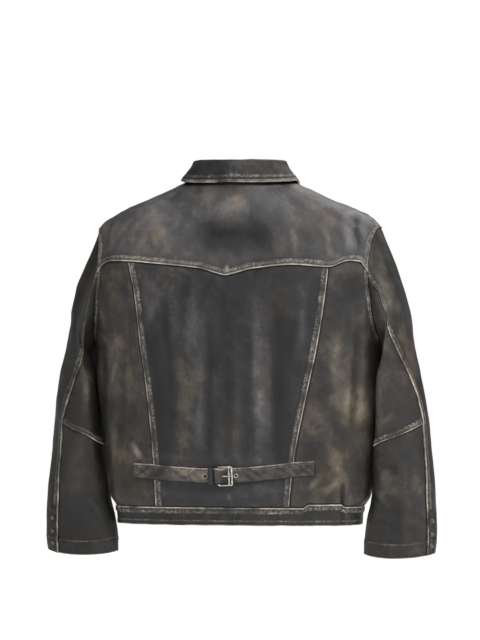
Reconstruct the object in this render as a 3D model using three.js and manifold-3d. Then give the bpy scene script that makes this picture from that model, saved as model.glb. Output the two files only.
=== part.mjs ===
// A worn leather trucker jacket, filled out and fastened, as it hangs on a general figure.
//
// Frame: millimetres, +Z up, +X towards the wearer's right, the back faces -Y and the front +Y.
// Origin: the middle of the neck opening, level with the neck seam at the centre back, where the wearer carries it.
//
// The body of the jacket is one smooth surface, worked out from a few profiles. Every panel is a stretch of that
// surface, given the leather's thickness and kept a sewing gap away from its neighbours.
import * as THREE from 'three';
import { mergeVertices } from 'three/addons/utils/BufferGeometryUtils.js';
import Module from 'manifold-3d';

const wasm = await Module();
wasm.setup();

// ---- Driving dimensions -------------------------------------------------------------------------------------
const LEATHER = 2.4;        // a panel's thickness: outer hide, seam allowance and facing
const BAND_THICKNESS = 3.2; // the waistband is two layers
const FALL_THICKNESS = 2.8;
const SEAM_GAP = 0.3;
const HALF_GAP = SEAM_GAP / 2;
const STRAP_THICKNESS = 2.2;
const DEG = Math.PI / 180;

// Heights up the side of the body.
const HEM = -618;
const BAND_TOP = -586;
const ARMPIT = -300;
const YOKE_AT_ARMHOLE = -167;
const FRONT_SEAM_AT_ARMHOLE = -250; // where the sleeve's front seam starts
const SHOULDER_TIP = -86;
const NECK = 2;

// Cells along each stretch, shared by the panels on both sides of every seam.
const ROWS = { band: 2, side: 7, backArmhole: 4, yokeArmhole: 3, frontLow: 2, frontHigh: 5, shoulder: 4 };
const COLUMNS = { backSide: 5, backCentre: 10, front: 7 };

// ---- Interpolation ------------------------------------------------------------------------------------------
const mix = (a, b, share) => a + (b - a) * share;
const clamp01 = (x) => Math.min(1, Math.max(0, x));
const smooth = (x) => { const c = clamp01(x); return c * c * (3 - 2 * c); };
const signedPower = (x, p) => Math.sign(x) * Math.abs(x) ** p;

// A smooth curve through [at, value] pairs that never overshoots them.
function profile(pairs) {
  const slope = (i) => (pairs[i + 1][1] - pairs[i][1]) / (pairs[i + 1][0] - pairs[i][0]);
  const tangent = (i) => {
    if (i === 0) return slope(0);
    if (i === pairs.length - 1) return slope(i - 1);
    const before = slope(i - 1);
    const after = slope(i);
    return before * after <= 0 ? 0 : (2 * before * after) / (before + after);
  };
  return (at) => {
    if (at <= pairs[0][0]) return pairs[0][1];
    const last = pairs.length - 1;
    if (at >= pairs[last][0]) return pairs[last][1];
    let i = 0;
    while (at > pairs[i + 1][0]) i += 1;
    const width = pairs[i + 1][0] - pairs[i][0];
    const s = (at - pairs[i][0]) / width;
    return pairs[i][1] * (1 + 2 * s) * (1 - s) ** 2 + tangent(i) * width * s * (1 - s) ** 2
      + pairs[i + 1][1] * s * s * (3 - 2 * s) + tangent(i + 1) * width * s * s * (s - 1);
  };
}

// ---- The body of the jacket ---------------------------------------------------------------------------------
// A loop of the body is named by its height at the sides. It is a rounded oblong: half as wide as halfWidth, as
// deep as backDepth behind and frontDepth before, and lower by backDrop and frontDrop at the centre lines.
const halfWidth = profile([[HEM, 222], [BAND_TOP, 226], [-570, 236], [-545, 241], [-504, 244], [-432, 252],
  [-360, 261], [ARMPIT, 265],
  [-260, 270], [-221, 274], [-165, 275], [-125, 270], [-100, 262], [SHOULDER_TIP, 257], [-72, 243],
  [-50, 204], [-29, 153], [-14, 119], [NECK, 82]]);
const backDepth = profile([[HEM, 100], [-520, 105], [-400, 111], [ARMPIT, 116], [-170, 117], [-120, 112],
  [SHOULDER_TIP, 106], [-50, 95], [-14, 81], [NECK, 72]]);
const frontDepth = profile([[HEM, 96], [-400, 106], [ARMPIT, 112], [-200, 110], [-120, 98], [SHOULDER_TIP, 90],
  [-40, 82], [NECK, 70]]);
const backDrop = profile([[-150, 0], [SHOULDER_TIP, -6], [-50, -11], [-14, -11], [NECK, -2]]);
const frontDrop = profile([[-150, 0], [-120, -4], [SHOULDER_TIP, -16], [-60, -32], [-40, -46], [-20, -61],
  [NECK, -78]]);
const squareness = profile([[HEM, 2.5], [ARMPIT, 2.6], [-165, 2.6], [SHOULDER_TIP, 2.4], [NECK, 2.1]]);

// Angles run round the body: 0 at the wearer's right side, -90 at the centre back, 90 at the centre front.
function bodyPoint(loop, angle) {
  const c = Math.cos(angle * DEG);
  const s = Math.sin(angle * DEG);
  const power = 2 / squareness(loop);
  const behind = s < 0;
  const depth = behind ? backDepth(loop) : frontDepth(loop);
  const drop = behind ? backDrop(loop) : frontDrop(loop);
  return new THREE.Vector3(halfWidth(loop) * signedPower(c, power), depth * signedPower(s, power),
    loop + drop * s * s);
}

function bodySample(loop, angle) {
  const step = 1;
  const around = bodyPoint(loop, angle + step).sub(bodyPoint(loop, angle - step));
  const up = bodyPoint(Math.min(loop + step, NECK), angle).sub(bodyPoint(loop - step, angle));
  return { p: bodyPoint(loop, angle), n: around.cross(up).normalize() };
}

// The angle at which a loop passes a distance x from the centre line, behind (-1) or before (1).
function angleAt(loop, x, face) {
  const share = THREE.MathUtils.clamp(x / halfWidth(loop), -1, 1);
  const c = signedPower(share, squareness(loop) / 2);
  return face * Math.acos(c) / DEG;
}

// The loop and angle of the point of the back (-1) or the front (1) at x and height z.
function findOnBody(x, z, face) {
  let low = z;
  let high = Math.min(NECK, z + 100);
  for (let i = 0; i < 40; i += 1) {
    const middle = (low + high) / 2;
    if (bodyPoint(middle, angleAt(middle, x, face)).z < z) low = middle; else high = middle;
  }
  return { loop: low, angle: angleAt(low, x, face) };
}

// The armhole's edge stands this far from the centre line.
const armholeX = profile([[ARMPIT, 265], [-285, 261.5], [-260, 256.5], [-221, 251], [-165, 247], [-110, 251],
  [-95, 254.5], [SHOULDER_TIP, 257]]);

// The shoulder seam runs a little in front of the shoulder's ridge, from the tip to the neck.
const shoulderSeamY = profile([[SHOULDER_TIP, 0], [-60, 10], [NECK, 22]]);

// The angle, from the side, of a panel's edge: the side seam, the armhole, then the shoulder seam.
function edgeAngle(loop, face) {
  if (loop <= ARMPIT) return 0;
  if (loop <= SHOULDER_TIP) return Math.abs(angleAt(loop, armholeX(loop), face));
  const share = shoulderSeamY(loop) / frontDepth(loop);
  const forward = Math.asin(share ** (squareness(loop) / 2)) / DEG;
  return face < 0 ? -forward : forward;
}

// ---- Seams of the back --------------------------------------------------------------------------------------
// The two long back seams lean in towards the waist, and the panel between them hangs a little to the left.
const leftSeamX = profile([[HEM, -132], [-530, -135], [-400, -146], [-300, -159], [-205, -170], [-150, -181]]);
const rightSeamX = profile([[HEM, 107], [-500, 121], [-400, 141], [-300, 163], [-205, 178], [-150, 184]]);

// The yoke's edge: a shallow point at the centre, shoulders that rise, and a dip to each armhole.
const yokeZ = profile([[-247, YOKE_AT_ARMHOLE], [-236, -152], [-218, -146], [-184, -147], [-120, -152],
  [-50, -160], [0, -173], [50, -161], [120, -154], [184, -158], [218, -147], [236, -149],
  [247, YOKE_AT_ARMHOLE]]);

// ---- Walls --------------------------------------------------------------------------------------------------
const root = new THREE.Group();

const FINISHES = {
  leather: { color: 0x3a3733, roughness: 0.55, metalness: 0 },
  edge: { color: 0x4a443c, roughness: 0.6, metalness: 0 },
  metal: { color: 0x8d867b, roughness: 0.35, metalness: 0.9 },
};

function addMesh(name, geometry, finish, place) {
  const mesh = new THREE.Mesh(geometry, new THREE.MeshStandardMaterial(FINISHES[finish]));
  mesh.name = name;
  if (place) mesh.applyMatrix4(place);
  root.add(mesh);
  return mesh;
}

// Moves the edge rows and columns of a grid of samples towards the inside, so that neighbours never touch.
function drawIn(grid, gaps) {
  const rows = grid.length;
  const columns = grid[0].length;
  const from = grid.map((row) => row.map((sample) => sample.p.clone()));
  const pull = (i, j, towardRow, towardColumn, gap) => {
    const direction = from[towardRow][towardColumn].clone().sub(from[i][j]).normalize();
    grid[i][j].p.addScaledVector(direction, gap);
  };
  for (let j = 0; j < columns; j += 1) {
    pull(0, j, 1, j, gaps.start);
    pull(rows - 1, j, rows - 2, j, gaps.end);
  }
  for (let i = 0; i < rows; i += 1) {
    pull(i, 0, i, 1, gaps.left);
    pull(i, columns - 1, i, columns - 2, gaps.right);
  }
}

// Whether a cell split from its first corner to its third is more creased than one split the other way.
function foldsOver(grid, i, j) {
  const [a, b, c, d] = [grid[i][j], grid[i][j + 1], grid[i + 1][j + 1], grid[i + 1][j]].map(({ p }) => p);
  const facing = (u, v, w) => v.clone().sub(u).cross(w.clone().sub(u)).normalize();
  const first = facing(a, b, c).dot(facing(a, c, d));
  const second = facing(b, c, d).dot(facing(b, d, a));
  return second > first + 0.02;
}

// A closed wall over a grid of samples {p, n}: the outer face on the points, the inner one a thickness behind.
function wallGeometry(grid, thickness, gaps = {}) {
  drawIn(grid, { start: HALF_GAP, end: HALF_GAP, left: HALF_GAP, right: HALF_GAP, ...gaps });
  const rows = grid.length;
  const columns = grid[0].length;
  const positions = [];
  for (const behind of [0, thickness]) {
    for (const row of grid) {
      for (const { p, n } of row) positions.push(...p.clone().addScaledVector(n, -behind));
    }
  }
  const outer = (i, j) => i * columns + j;
  const inner = (i, j) => rows * columns + outer(i, j);
  const triangles = [];
  const quad = (a, b, c, d) => triangles.push(a, b, c, a, c, d);
  for (let i = 0; i < rows - 1; i += 1) {
    for (let j = 0; j < columns - 1; j += 1) {
      const outside = [outer(i, j), outer(i, j + 1), outer(i + 1, j + 1), outer(i + 1, j)];
      const inside = outside.map((at) => at + rows * columns).reverse();
      if (foldsOver(grid, i, j)) {
        quad(...outside.slice(1), outside[0]);
        quad(...inside.slice(1), inside[0]);
      } else {
        quad(...outside);
        quad(...inside);
      }
    }
  }
  for (let j = 0; j < columns - 1; j += 1) {
    quad(outer(0, j), inner(0, j), inner(0, j + 1), outer(0, j + 1));
    quad(outer(rows - 1, j), outer(rows - 1, j + 1), inner(rows - 1, j + 1), inner(rows - 1, j));
  }
  for (let i = 0; i < rows - 1; i += 1) {
    quad(outer(i, 0), outer(i + 1, 0), inner(i + 1, 0), inner(i, 0));
    quad(outer(i, columns - 1), inner(i, columns - 1), inner(i + 1, columns - 1), outer(i + 1, columns - 1));
  }
  const middle = grid[Math.floor(rows / 2)];
  const at = Math.floor(columns / 2);
  const along = middle[at].p.clone().sub(middle[at - 1].p);
  const across = grid[Math.floor(rows / 2) - 1][at].p.clone().sub(middle[at].p);
  if (along.cross(across).dot(middle[at].n) > 0) triangles.reverse();
  const geometry = new THREE.BufferGeometry();
  geometry.setAttribute('position', new THREE.Float32BufferAttribute(positions, 3));
  geometry.setIndex(triangles);
  return geometry;
}

const addWall = (name, grid, thickness, gaps, finish = 'leather') =>
  addMesh(name, wallGeometry(grid, thickness, gaps), finish);

// Shares 0..1 in a number of equal steps.
const shares = (count) => Array.from({ length: count + 1 }, (_, i) => i / count);

// The heights at which each stretch is divided, from the bottom up.
const stretch = (from, to, count) => shares(count).map((share) => mix(from, to, share));
const sideLoops = stretch(BAND_TOP, ARMPIT, ROWS.side);
const frontLoops = [...sideLoops, ...stretch(ARMPIT, FRONT_SEAM_AT_ARMHOLE, ROWS.frontLow).slice(1),
  ...stretch(FRONT_SEAM_AT_ARMHOLE, SHOULDER_TIP, ROWS.frontHigh).slice(1),
  ...stretch(SHOULDER_TIP, NECK, ROWS.shoulder).slice(1)];

// ---- Back panels and yoke -----------------------------------------------------------------------------------
const SIDES = { left: -1, right: 1 };

// The angles of the back's four seams on a loop, from the wearer's left side to the right one.
function backSeams(loop) {
  const edge = edgeAngle(loop, -1);
  return [-180 + edge, angleAt(loop, leftSeamX(loop), -1), angleAt(loop, rightSeamX(loop), -1), -edge];
}

// The place of each column of the back: which of the three panels it is in, and how far across it.
const backColumns = [COLUMNS.backSide, COLUMNS.backCentre, COLUMNS.backSide].map((count, panel) =>
  shares(count).map((across) => ({ panel, across })));
const backAngle = (loop, { panel, across }) => {
  const seams = backSeams(loop);
  return mix(seams[panel], seams[panel + 1], across);
};

// The loop on which a column meets the yoke's edge.
function yokeLoop(column) {
  let loop = -150;
  for (let i = 0; i < 12; i += 1) {
    const point = bodyPoint(loop, backAngle(loop, column));
    loop += yokeZ(point.x) - point.z;
  }
  return loop;
}

function backGrid(columns) {
  return columns.map((column) => {
    const top = yokeLoop(column);
    const loops = [...sideLoops, ...stretch(ARMPIT, top, ROWS.backArmhole).slice(1)];
    return loops.map((loop) => bodySample(loop, backAngle(loop, column)));
  });
}
const turned = (grid) => grid[0].map((_, j) => grid.map((row) => row[j]));

['back_panel_left', 'back_panel_centre', 'back_panel_right'].forEach((name, panel) =>
  addWall(name, turned(backGrid(backColumns[panel])), LEATHER));

function yokeGrid() {
  const columns = [...backColumns[0], ...backColumns[1].slice(1), ...backColumns[2].slice(1)];
  return columns.map((column) => {
    const bottom = yokeLoop(column);
    const seams = backSeams(bottom);
    const across = (backAngle(bottom, column) - seams[0]) / (seams[3] - seams[0]);
    const loops = [...stretch(bottom, SHOULDER_TIP, ROWS.yokeArmhole),
      ...stretch(SHOULDER_TIP, NECK, ROWS.shoulder).slice(1)];
    return loops.map((loop) => {
      const [left, , , right] = backSeams(loop);
      return bodySample(loop, mix(left, right, across));
    });
  });
}
addWall('back_yoke', turned(yokeGrid()), LEATHER);

// ---- Fronts, placket and waistband --------------------------------------------------------------------------
const frontAngle = (loop, side, across) => {
  const edge = edgeAngle(loop, 1);
  const fromRight = mix(edge, 90, across);
  return side > 0 ? fromRight : 180 - fromRight;
};
for (const [side, sign] of Object.entries(SIDES)) {
  addWall(`front_${side}`, frontLoops.map((loop) => shares(COLUMNS.front).map((across) =>
    bodySample(loop, frontAngle(loop, sign, across)))), LEATHER);
}

// A strip that lies on the body: samples on the surface, moved out by a clearance that may vary along it.
const lift = (sample, distance) => ({ p: sample.p.clone().addScaledVector(sample.n, distance), n: sample.n });

const PLACKET = { halfWidth: 21, bottom: HEM + 0.5, top: -96, clearance: 1.5, thickness: 2.4, rows: 16 };
addWall('front_placket', stretch(PLACKET.bottom, PLACKET.top, PLACKET.rows).map((z) =>
  [-PLACKET.halfWidth, 0, PLACKET.halfWidth].map((x) => {
    const at = findOnBody(x, z, 1);
    return lift(bodySample(at.loop, at.angle), PLACKET.clearance + PLACKET.thickness);
  })), PLACKET.thickness);

const bandLoops = stretch(HEM, BAND_TOP, ROWS.band);
const BAND_PROUD = 0.8; // the band's outer face stands this far out of the panels above it
const bandSample = (loop, angle) => lift(bodySample(loop, angle), BAND_PROUD);
const allBackColumns = [...backColumns[0], ...backColumns[1].slice(1), ...backColumns[2].slice(1)];
addWall('waistband_back', bandLoops.map((loop) => allBackColumns.map((column) =>
  bandSample(loop, backAngle(BAND_TOP, column)))), BAND_THICKNESS);
for (const [side, sign] of Object.entries(SIDES)) {
  addWall(`waistband_front_${side}`, bandLoops.map((loop) => shares(COLUMNS.front).map((across) =>
    bandSample(loop, frontAngle(BAND_TOP, sign, across)))), BAND_THICKNESS);
}

// ---- Collar -------------------------------------------------------------------------------------------------
// The stand rises from the neck seam to the fold, and the fall turns over it and lies on the shoulders.
const FOLD = { halfWidth: 80, backDepth: 70, frontDepth: 71, back: 35, side: 35, front: -46, squareness: 2.15 };
const COLLAR_END = 87; // the stand's ends stop this angle from the sides, just short of the centre front
const FALL_END = 82;

function foldPoint(angle, widen, rise) {
  const c = Math.cos(angle * DEG);
  const s = Math.sin(angle * DEG);
  const power = 2 / FOLD.squareness;
  const depth = s < 0 ? FOLD.backDepth : FOLD.frontDepth;
  const height = mix(FOLD.side, s < 0 ? FOLD.back : FOLD.front, s * s * Math.abs(s));
  return new THREE.Vector3((FOLD.halfWidth + widen) * signedPower(c, power),
    (depth + widen) * signedPower(s, power), height + rise);
}

// Normals of a grid of points, from its neighbours, turned to face away from the neck's middle.
function sampled(points) {
  return points.map((row, i) => row.map((p, j) => {
    const along = (points[i][j + 1] ?? p).clone().sub(points[i][j - 1] ?? p);
    const up = (points[i + 1]?.[j] ?? p).clone().sub(points[i - 1]?.[j] ?? p);
    return { p: p.clone(), n: along.cross(up).normalize() };
  }));
}

// The angles round the neck, from the centre front by the left side and the back to the centre front again.
// The ends of the yoke are among them, so that the stand shares its corners.
const yokeNeckEnd = -edgeAngle(NECK, -1);
const yokeNeck = allBackColumns.map((column) => {
  const bottom = yokeLoop(column);
  const seams = backSeams(bottom);
  const [left, , , right] = backSeams(NECK);
  return mix(left, right, (backAngle(bottom, column) - seams[0]) / (seams[3] - seams[0]));
});
const frontNeck = shares(COLUMNS.front).slice(1).map((across) => mix(yokeNeckEnd, COLLAR_END, across));
const neckAngles = [...frontNeck.map((angle) => -180 - angle).reverse(), ...yokeNeck, ...frontNeck];

const FOLD_RADIUS = 4.5;
const STAND_ROWS = 3;
// The stand stops below the fall, and further below it where the fold slopes down to the front.
const standTop = (angle) => -(FALL_THICKNESS + 1.2)
  - (Math.sin(angle * DEG) > 0 ? 4 * Math.sin(2 * angle * DEG) ** 2 : 0);
const standPoints = shares(STAND_ROWS).map((up) => neckAngles.map((angle) =>
  bodyPoint(NECK, angle).lerp(foldPoint(angle, 0, standTop(angle)), up)));
addWall('collar_stand', sampled(standPoints), LEATHER, { start: 0.6 });

// The lower edge of the fall, by angle: its distance down the body from the neck, as x and z at the front.
const FALL_CLEARANCE = 4.5;
const fallEdgeLoop = profile([[-90, -2.5], [-70, -3.8], [-50, -5.6], [-20, -7.6], [0, -7]]);
const fallFront = { x: profile([[0, 104], [0.35, 99], [0.7, 85], [1, 68]]),
  z: profile([[0, -7], [0.35, -42], [0.7, -86], [1, -122]]) };

function fallEdge(angle) {
  const folded = angle < -90 ? -180 - angle : angle; // the right-hand twin of an angle on the left
  const mirror = angle < -90 ? -1 : 1;
  let sample;
  if (folded <= 0) {
    sample = bodySample(fallEdgeLoop(folded), folded);
  } else {
    const share = folded / FALL_END;
    const at = findOnBody(fallFront.x(share), fallFront.z(share), 1);
    sample = bodySample(at.loop, at.angle);
  }
  const edge = lift(sample, FALL_CLEARANCE + FALL_THICKNESS).p;
  return new THREE.Vector3(edge.x * mirror, edge.y, edge.z);
}

const FALL_SIDE_COLUMNS = 16;
const fallAngles = stretch(-180 - FALL_END, FALL_END, 2 * FALL_SIDE_COLUMNS);
const fallRows = [
  (angle) => foldPoint(angle, -1, 0),
  (angle) => foldPoint(angle, FOLD_RADIUS * 0.7, -1),
  (angle) => foldPoint(angle, FOLD_RADIUS + 0.6, -4.6),
  (angle) => foldPoint(angle, FOLD_RADIUS + 3.6, -11),
  (angle) => foldPoint(angle, FOLD_RADIUS + 3.6, -11).lerp(fallEdge(angle), 0.5).add(new THREE.Vector3(0, 0, 0.8)),
  (angle) => fallEdge(angle),
];
addWall('collar_fall', sampled(fallRows.map((row) => fallAngles.map(row)).reverse()), FALL_THICKNESS);

// ---- Sleeves ------------------------------------------------------------------------------------------------
// A sleeve is a run of rings. Each ring is a flattened oval: its long way round runs from the outer line to the
// inner line, and it is as deep as halfDepth in front and behind, where it wraps round the body by wrap.
// Place 0 is the armhole and the last place is the cuff.
const CUFF = 17;
const outerX = profile([[0, 257.5], [1, 269], [2, 280], [3, 291], [4, 301], [5, 310], [6, 317.5], [8, 332],
  [10, 344], [12, 353], [14, 359], [15, 360], [16, 359], [17, 356]]);
const outerZ = profile([[0, SHOULDER_TIP], [1, -115], [2, -142], [3, -176], [4, -214], [6, -290], [8, -362],
  [10, -432], [12, -503], [14, -576], [16, -643], [CUFF, -668]]);
const innerX = profile([[0, 265], [1, 267.5], [2, 268.8], [3, 269.5], [4, 269.5], [5, 269], [7, 266], [9, 259.5],
  [11, 253], [13, 246.5], [14, 241], [15, 232], [16, 228], [17, 227]]);
const innerZ = profile([[0, ARMPIT], [1, -304], [3, -315], [5, -332], [7, -362], [9, -412], [11, -468],
  [13, -540], [15, -612], [16, -645], [CUFF, -670]]);
const halfDepth = profile([[0, 66], [1, 72], [3, 79], [5, 81.5], [7, 78], [9, 71], [11, 60.5], [13, 46],
  [15, 32], [17, 27]]);
const dip = profile([[15, 0], [CUFF, 8]]); // the cuff's edge is lower before and behind
const wrap = profile([[0, 0], [3, 0], [5, 8], [7, 16], [9, 20], [11, 18], [13, 12], [15, 5], [17, 0]]);
const SLEEVE_SQUARENESS = 2.25;
const ARMHOLE_BLEND = 4; // the rings take this many places to leave the armhole's own shape

// Turns round the sleeve: 0 at the top and outside, 90 behind, 180 at the underarm, 270 in front.
const armholeLoop = (turn) => mix(ARMPIT, SHOULDER_TIP, (1 + Math.cos(turn * DEG)) / 2);
const armholeTurn = (loop) => Math.acos(2 * (loop - ARMPIT) / (SHOULDER_TIP - ARMPIT) - 1) / DEG;

function armholePoint(turn) {
  const loop = armholeLoop(turn);
  const face = Math.sin(turn * DEG) >= 0 ? -1 : 1;
  return bodyPoint(loop, face * edgeAngle(loop, face));
}

function ringPoint(place, turn) {
  const power = 2 / SLEEVE_SQUARENESS;
  const c = signedPower(Math.cos(turn * DEG), power);
  const s = signedPower(Math.sin(turn * DEG), power);
  const x = mix(innerX(place), outerX(place), (1 + c) / 2) - wrap(place) * s * s;
  const z = mix(innerZ(place), outerZ(place), (1 + c) / 2) - dip(place) * s * s;
  return new THREE.Vector3(x, -halfDepth(place) * s, z);
}

function sleevePoint(place, turn) {
  const point = ringPoint(place, turn);
  const blend = 1 - smooth(place / ARMHOLE_BLEND);
  if (blend > 0) point.add(armholePoint(turn).sub(ringPoint(0, turn)).multiplyScalar(blend));
  return point;
}

function sleeveSample(place, turn, sign) {
  const step = 0.05;
  const around = sleevePoint(place, turn + 1).sub(sleevePoint(place, turn - 1));
  const down = sleevePoint(Math.min(place + step, CUFF), turn).sub(sleevePoint(Math.max(place - step, 0), turn));
  const n = around.cross(down).normalize();
  const p = sleevePoint(place, turn);
  return { p: new THREE.Vector3(p.x * sign, p.y, p.z), n: new THREE.Vector3(n.x * sign, n.y, n.z) };
}

// The seam behind runs from the yoke's corner down to the vent, and each sleeve hangs turned a little its own way.
const backSeamTurn = profile([[0, armholeTurn(YOKE_AT_ARMHOLE)], [1, 81], [2, 90], [3, 100], [4, 102], [5, 93],
  [6, 78], [7, 65], [8, 51], [9, 41], [10, 36], [12, 39], [14, 45], [17, 45]]);
const hangingTurn = profile([[0, 0], [1, 4], [2, 14], [3, 19], [4, 22], [5, 24], [6, 24.5], [7, 23.5], [8, 20],
  [9, 17], [10, 15], [12, 13], [14, 9], [17, 8]]);
const frontSeamTurn = profile([[0, 360 - armholeTurn(FRONT_SEAM_AT_ARMHOLE)], [4, 228], [10, 232], [17, 236]]);
const backSeam = (place, sign) => backSeamTurn(place) - sign * hangingTurn(place);
const frontSeam = (place, sign) => frontSeamTurn(place) - sign * hangingTurn(place);

// The armhole's points, shared with the panels round it, as turns.
const turnsOf = (from, to, count) => stretch(from, to, count).map(armholeTurn);
const topTurns = [
  ...turnsOf(FRONT_SEAM_AT_ARMHOLE, SHOULDER_TIP, ROWS.frontHigh).map((turn) => -turn),
  ...turnsOf(SHOULDER_TIP, YOKE_AT_ARMHOLE, ROWS.yokeArmhole).slice(1),
];
const underTurns = [
  ...turnsOf(YOKE_AT_ARMHOLE, ARMPIT, ROWS.backArmhole),
  ...turnsOf(ARMPIT, FRONT_SEAM_AT_ARMHOLE, ROWS.frontLow).slice(1).map((turn) => 360 - turn),
];
const spread = (turns) => turns.map((turn) => (turn - turns[0]) / (turns[turns.length - 1] - turns[0]));

// The elbow seam crosses the under sleeve and falls lower towards the front. Every row of the sleeve keeps its
// share of the way from the armhole to that seam, or from the seam to the cuff.
const ELBOW_BEHIND = 10.1;
const ELBOW_FRONT = 11.3;
const ROWS_ABOVE_ELBOW = 9;
const ROWS_BELOW_ELBOW = 5;
const CAP_GAP = 0.45; // the sleeve starts this far from the armhole's edge
const rowsFrom = (first, last) => Array.from({ length: last - first + 1 }, (_, i) => first + i);
const elbowRow = ROWS_ABOVE_ELBOW;
const cuffRow = ROWS_ABOVE_ELBOW + ROWS_BELOW_ELBOW;
const elbowAt = (share) => mix(ELBOW_BEHIND, ELBOW_FRONT, Math.sin(Math.min(1, share * 1.35) * Math.PI / 2));
const rowPlace = (row, elbow) => (row <= elbowRow
  ? elbow * row / elbowRow
  : mix(elbow, CUFF, (row - elbowRow) / ROWS_BELOW_ELBOW));

for (const [side, sign] of Object.entries(SIDES)) {
  const topPanel = rowsFrom(0, cuffRow).map((row) => spread(topTurns).map((share) => {
    const place = rowPlace(row, mix(ELBOW_FRONT, ELBOW_BEHIND, share));
    return sleeveSample(place, mix(frontSeam(place, sign) - 360, backSeam(place, sign), share), sign);
  }));
  addWall(`sleeve_top_${side}`, topPanel, LEATHER, { start: CAP_GAP });

  const underPanel = (rows) => rows.map((row) => spread(underTurns).map((share) => {
    const place = rowPlace(row, elbowAt(share));
    return sleeveSample(place, mix(backSeam(place, sign), frontSeam(place, sign), share), sign);
  }));
  addWall(`sleeve_under_upper_${side}`, underPanel(rowsFrom(0, elbowRow)), LEATHER, { start: CAP_GAP });
  addWall(`sleeve_under_lower_${side}`, underPanel(rowsFrom(elbowRow, cuffRow)), LEATHER);
}

// ---- Back cinch belt ----------------------------------------------------------------------------------------
// Two straps start from stitched ends on the side panels. The left one carries the buckle; the right one passes
// under the buckle's outer bar, over its pivot and through the keeper, and ends in a point.
const BELT = { halfHeight: 13.5, clearance: 0.5 };
const BELT_START = { left: -176, right: 158 };
const BUCKLE = { x: -2, halfWidth: 14, halfHeight: 18, bar: 3, lift: 4.6 };
const PIVOT_X = BUCKLE.x - BUCKLE.halfWidth + BUCKLE.bar / 2;
const OUTER_BAR_X = BUCKLE.x + BUCKLE.halfWidth - BUCKLE.bar / 2;
const TIP = { x: -69, length: 13 };
const KEEPER = { x: -27.5, halfWidth: 4.5, thickness: 1.6 };
const beltZ = profile([[-176, -522], [-141, -523], [-108, -526.5], [-32, -529.5], [12, -528.5], [102, -520.5],
  [123, -517.5], [158, -516]]);
const overLift = profile([[-69, 3.6], [-36, 3.6], [-22, 4.6], [PIVOT_X - 3, 9], [PIVOT_X + 3, 8.6],
  [OUTER_BAR_X - 8, 0.6], [OUTER_BAR_X + 8, 0.5], [40, 0.5]]);

function onBack(x, z, distance) {
  const at = findOnBody(x, z, -1);
  return lift(bodySample(at.loop, at.angle), distance);
}

// A strap between stations along x. Its lift is the distance from the body to its hidden face.
function strapGrid(stations, liftAt, halfHeightAt) {
  return stations.map((x) => [-1, 0, 1].map((across) =>
    onBack(x, beltZ(x) + across * halfHeightAt(x), liftAt(x) + STRAP_THICKNESS)));
}
const leftStations = [...stretch(BELT_START.left, -40, 9), -27, PIVOT_X + 1];
const leftStrap = wallGeometry(strapGrid(leftStations, () => BELT.clearance, () => BELT.halfHeight),
  STRAP_THICKNESS);

const tipShape = (x) => BELT.halfHeight * Math.sqrt(clamp01((x - TIP.x + 0.6) / TIP.length));
const rightStations = [TIP.x, TIP.x + 3, TIP.x + 7, TIP.x + TIP.length, -46, -36, -27, -22, PIVOT_X - 3, PIVOT_X,
  PIVOT_X + 3, PIVOT_X + 6, -2, OUTER_BAR_X - 8, OUTER_BAR_X - 4, OUTER_BAR_X + 4, 30, 50, 72, 94, 115, 136,
  BELT_START.right];
const strapWithoutHoles = wallGeometry(strapGrid(rightStations, overLift, tipShape), STRAP_THICKNESS);

// The frame of a place on the belt: x along it, y up it and z out of the back.
function beltPlace(x, distance) {
  const { p, n } = onBack(x, beltZ(x), distance);
  const along = onBack(x + 5, beltZ(x + 5), distance).p.sub(p);
  const up = n.clone().cross(along).normalize();
  return new THREE.Matrix4().makeBasis(up.clone().cross(n), up, n).setPosition(p);
}

function solidOf(geometry) {
  const merged = mergeVertices(geometry.index ? geometry.toNonIndexed().deleteAttribute('normal') : geometry, 1e-4);
  return new wasm.Manifold(new wasm.Mesh({ numProp: 3, vertProperties: merged.getAttribute('position').array,
    triVerts: new Uint32Array(merged.index.array) }));
}

function geometryOf(solid) {
  const { numProp, vertProperties, triVerts } = solid.getMesh();
  const positions = [];
  for (let i = 0; i < vertProperties.length; i += numProp) positions.push(...vertProperties.subarray(i, i + 3));
  const geometry = new THREE.BufferGeometry();
  geometry.setAttribute('position', new THREE.Float32BufferAttribute(positions, 3));
  geometry.setIndex([...triVerts]);
  return geometry;
}

// The holes stand 28 mm apart; the buckle's prong uses the middle one, which is a longer slot.
const HOLES = [{ x: -38.4, length: 3.4 }, { x: PIVOT_X + 6, length: 11 }, { x: 17.4, length: 3.4 }];
const punched = HOLES.reduce((strap, { x, length }) => {
  const punch = wasm.Manifold.cube([length, 3.4, 30], true)
    .transform(beltPlace(x, 4).elements);
  return strap.subtract(punch);
}, solidOf(strapWithoutHoles));
addMesh('belt_strap_right', geometryOf(punched), 'leather');

// The left strap is slotted where the eye of the prong turns.
const slot = wasm.Manifold.cube([14, 4, 20], true).transform(beltPlace(PIVOT_X, 0).elements);
addMesh('belt_strap_left', geometryOf(solidOf(leftStrap).subtract(slot)), 'leather');

const eyelet = wasm.Manifold.cylinder(1, 3.8, 3.4, 20, false).subtract(wasm.Manifold.cylinder(4, 2.4, 2.4, 20, true));
addMesh('belt_eyelet', geometryOf(eyelet), 'metal', beltPlace(17.4, overLift(17.4) + STRAP_THICKNESS + 0.35));

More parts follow.
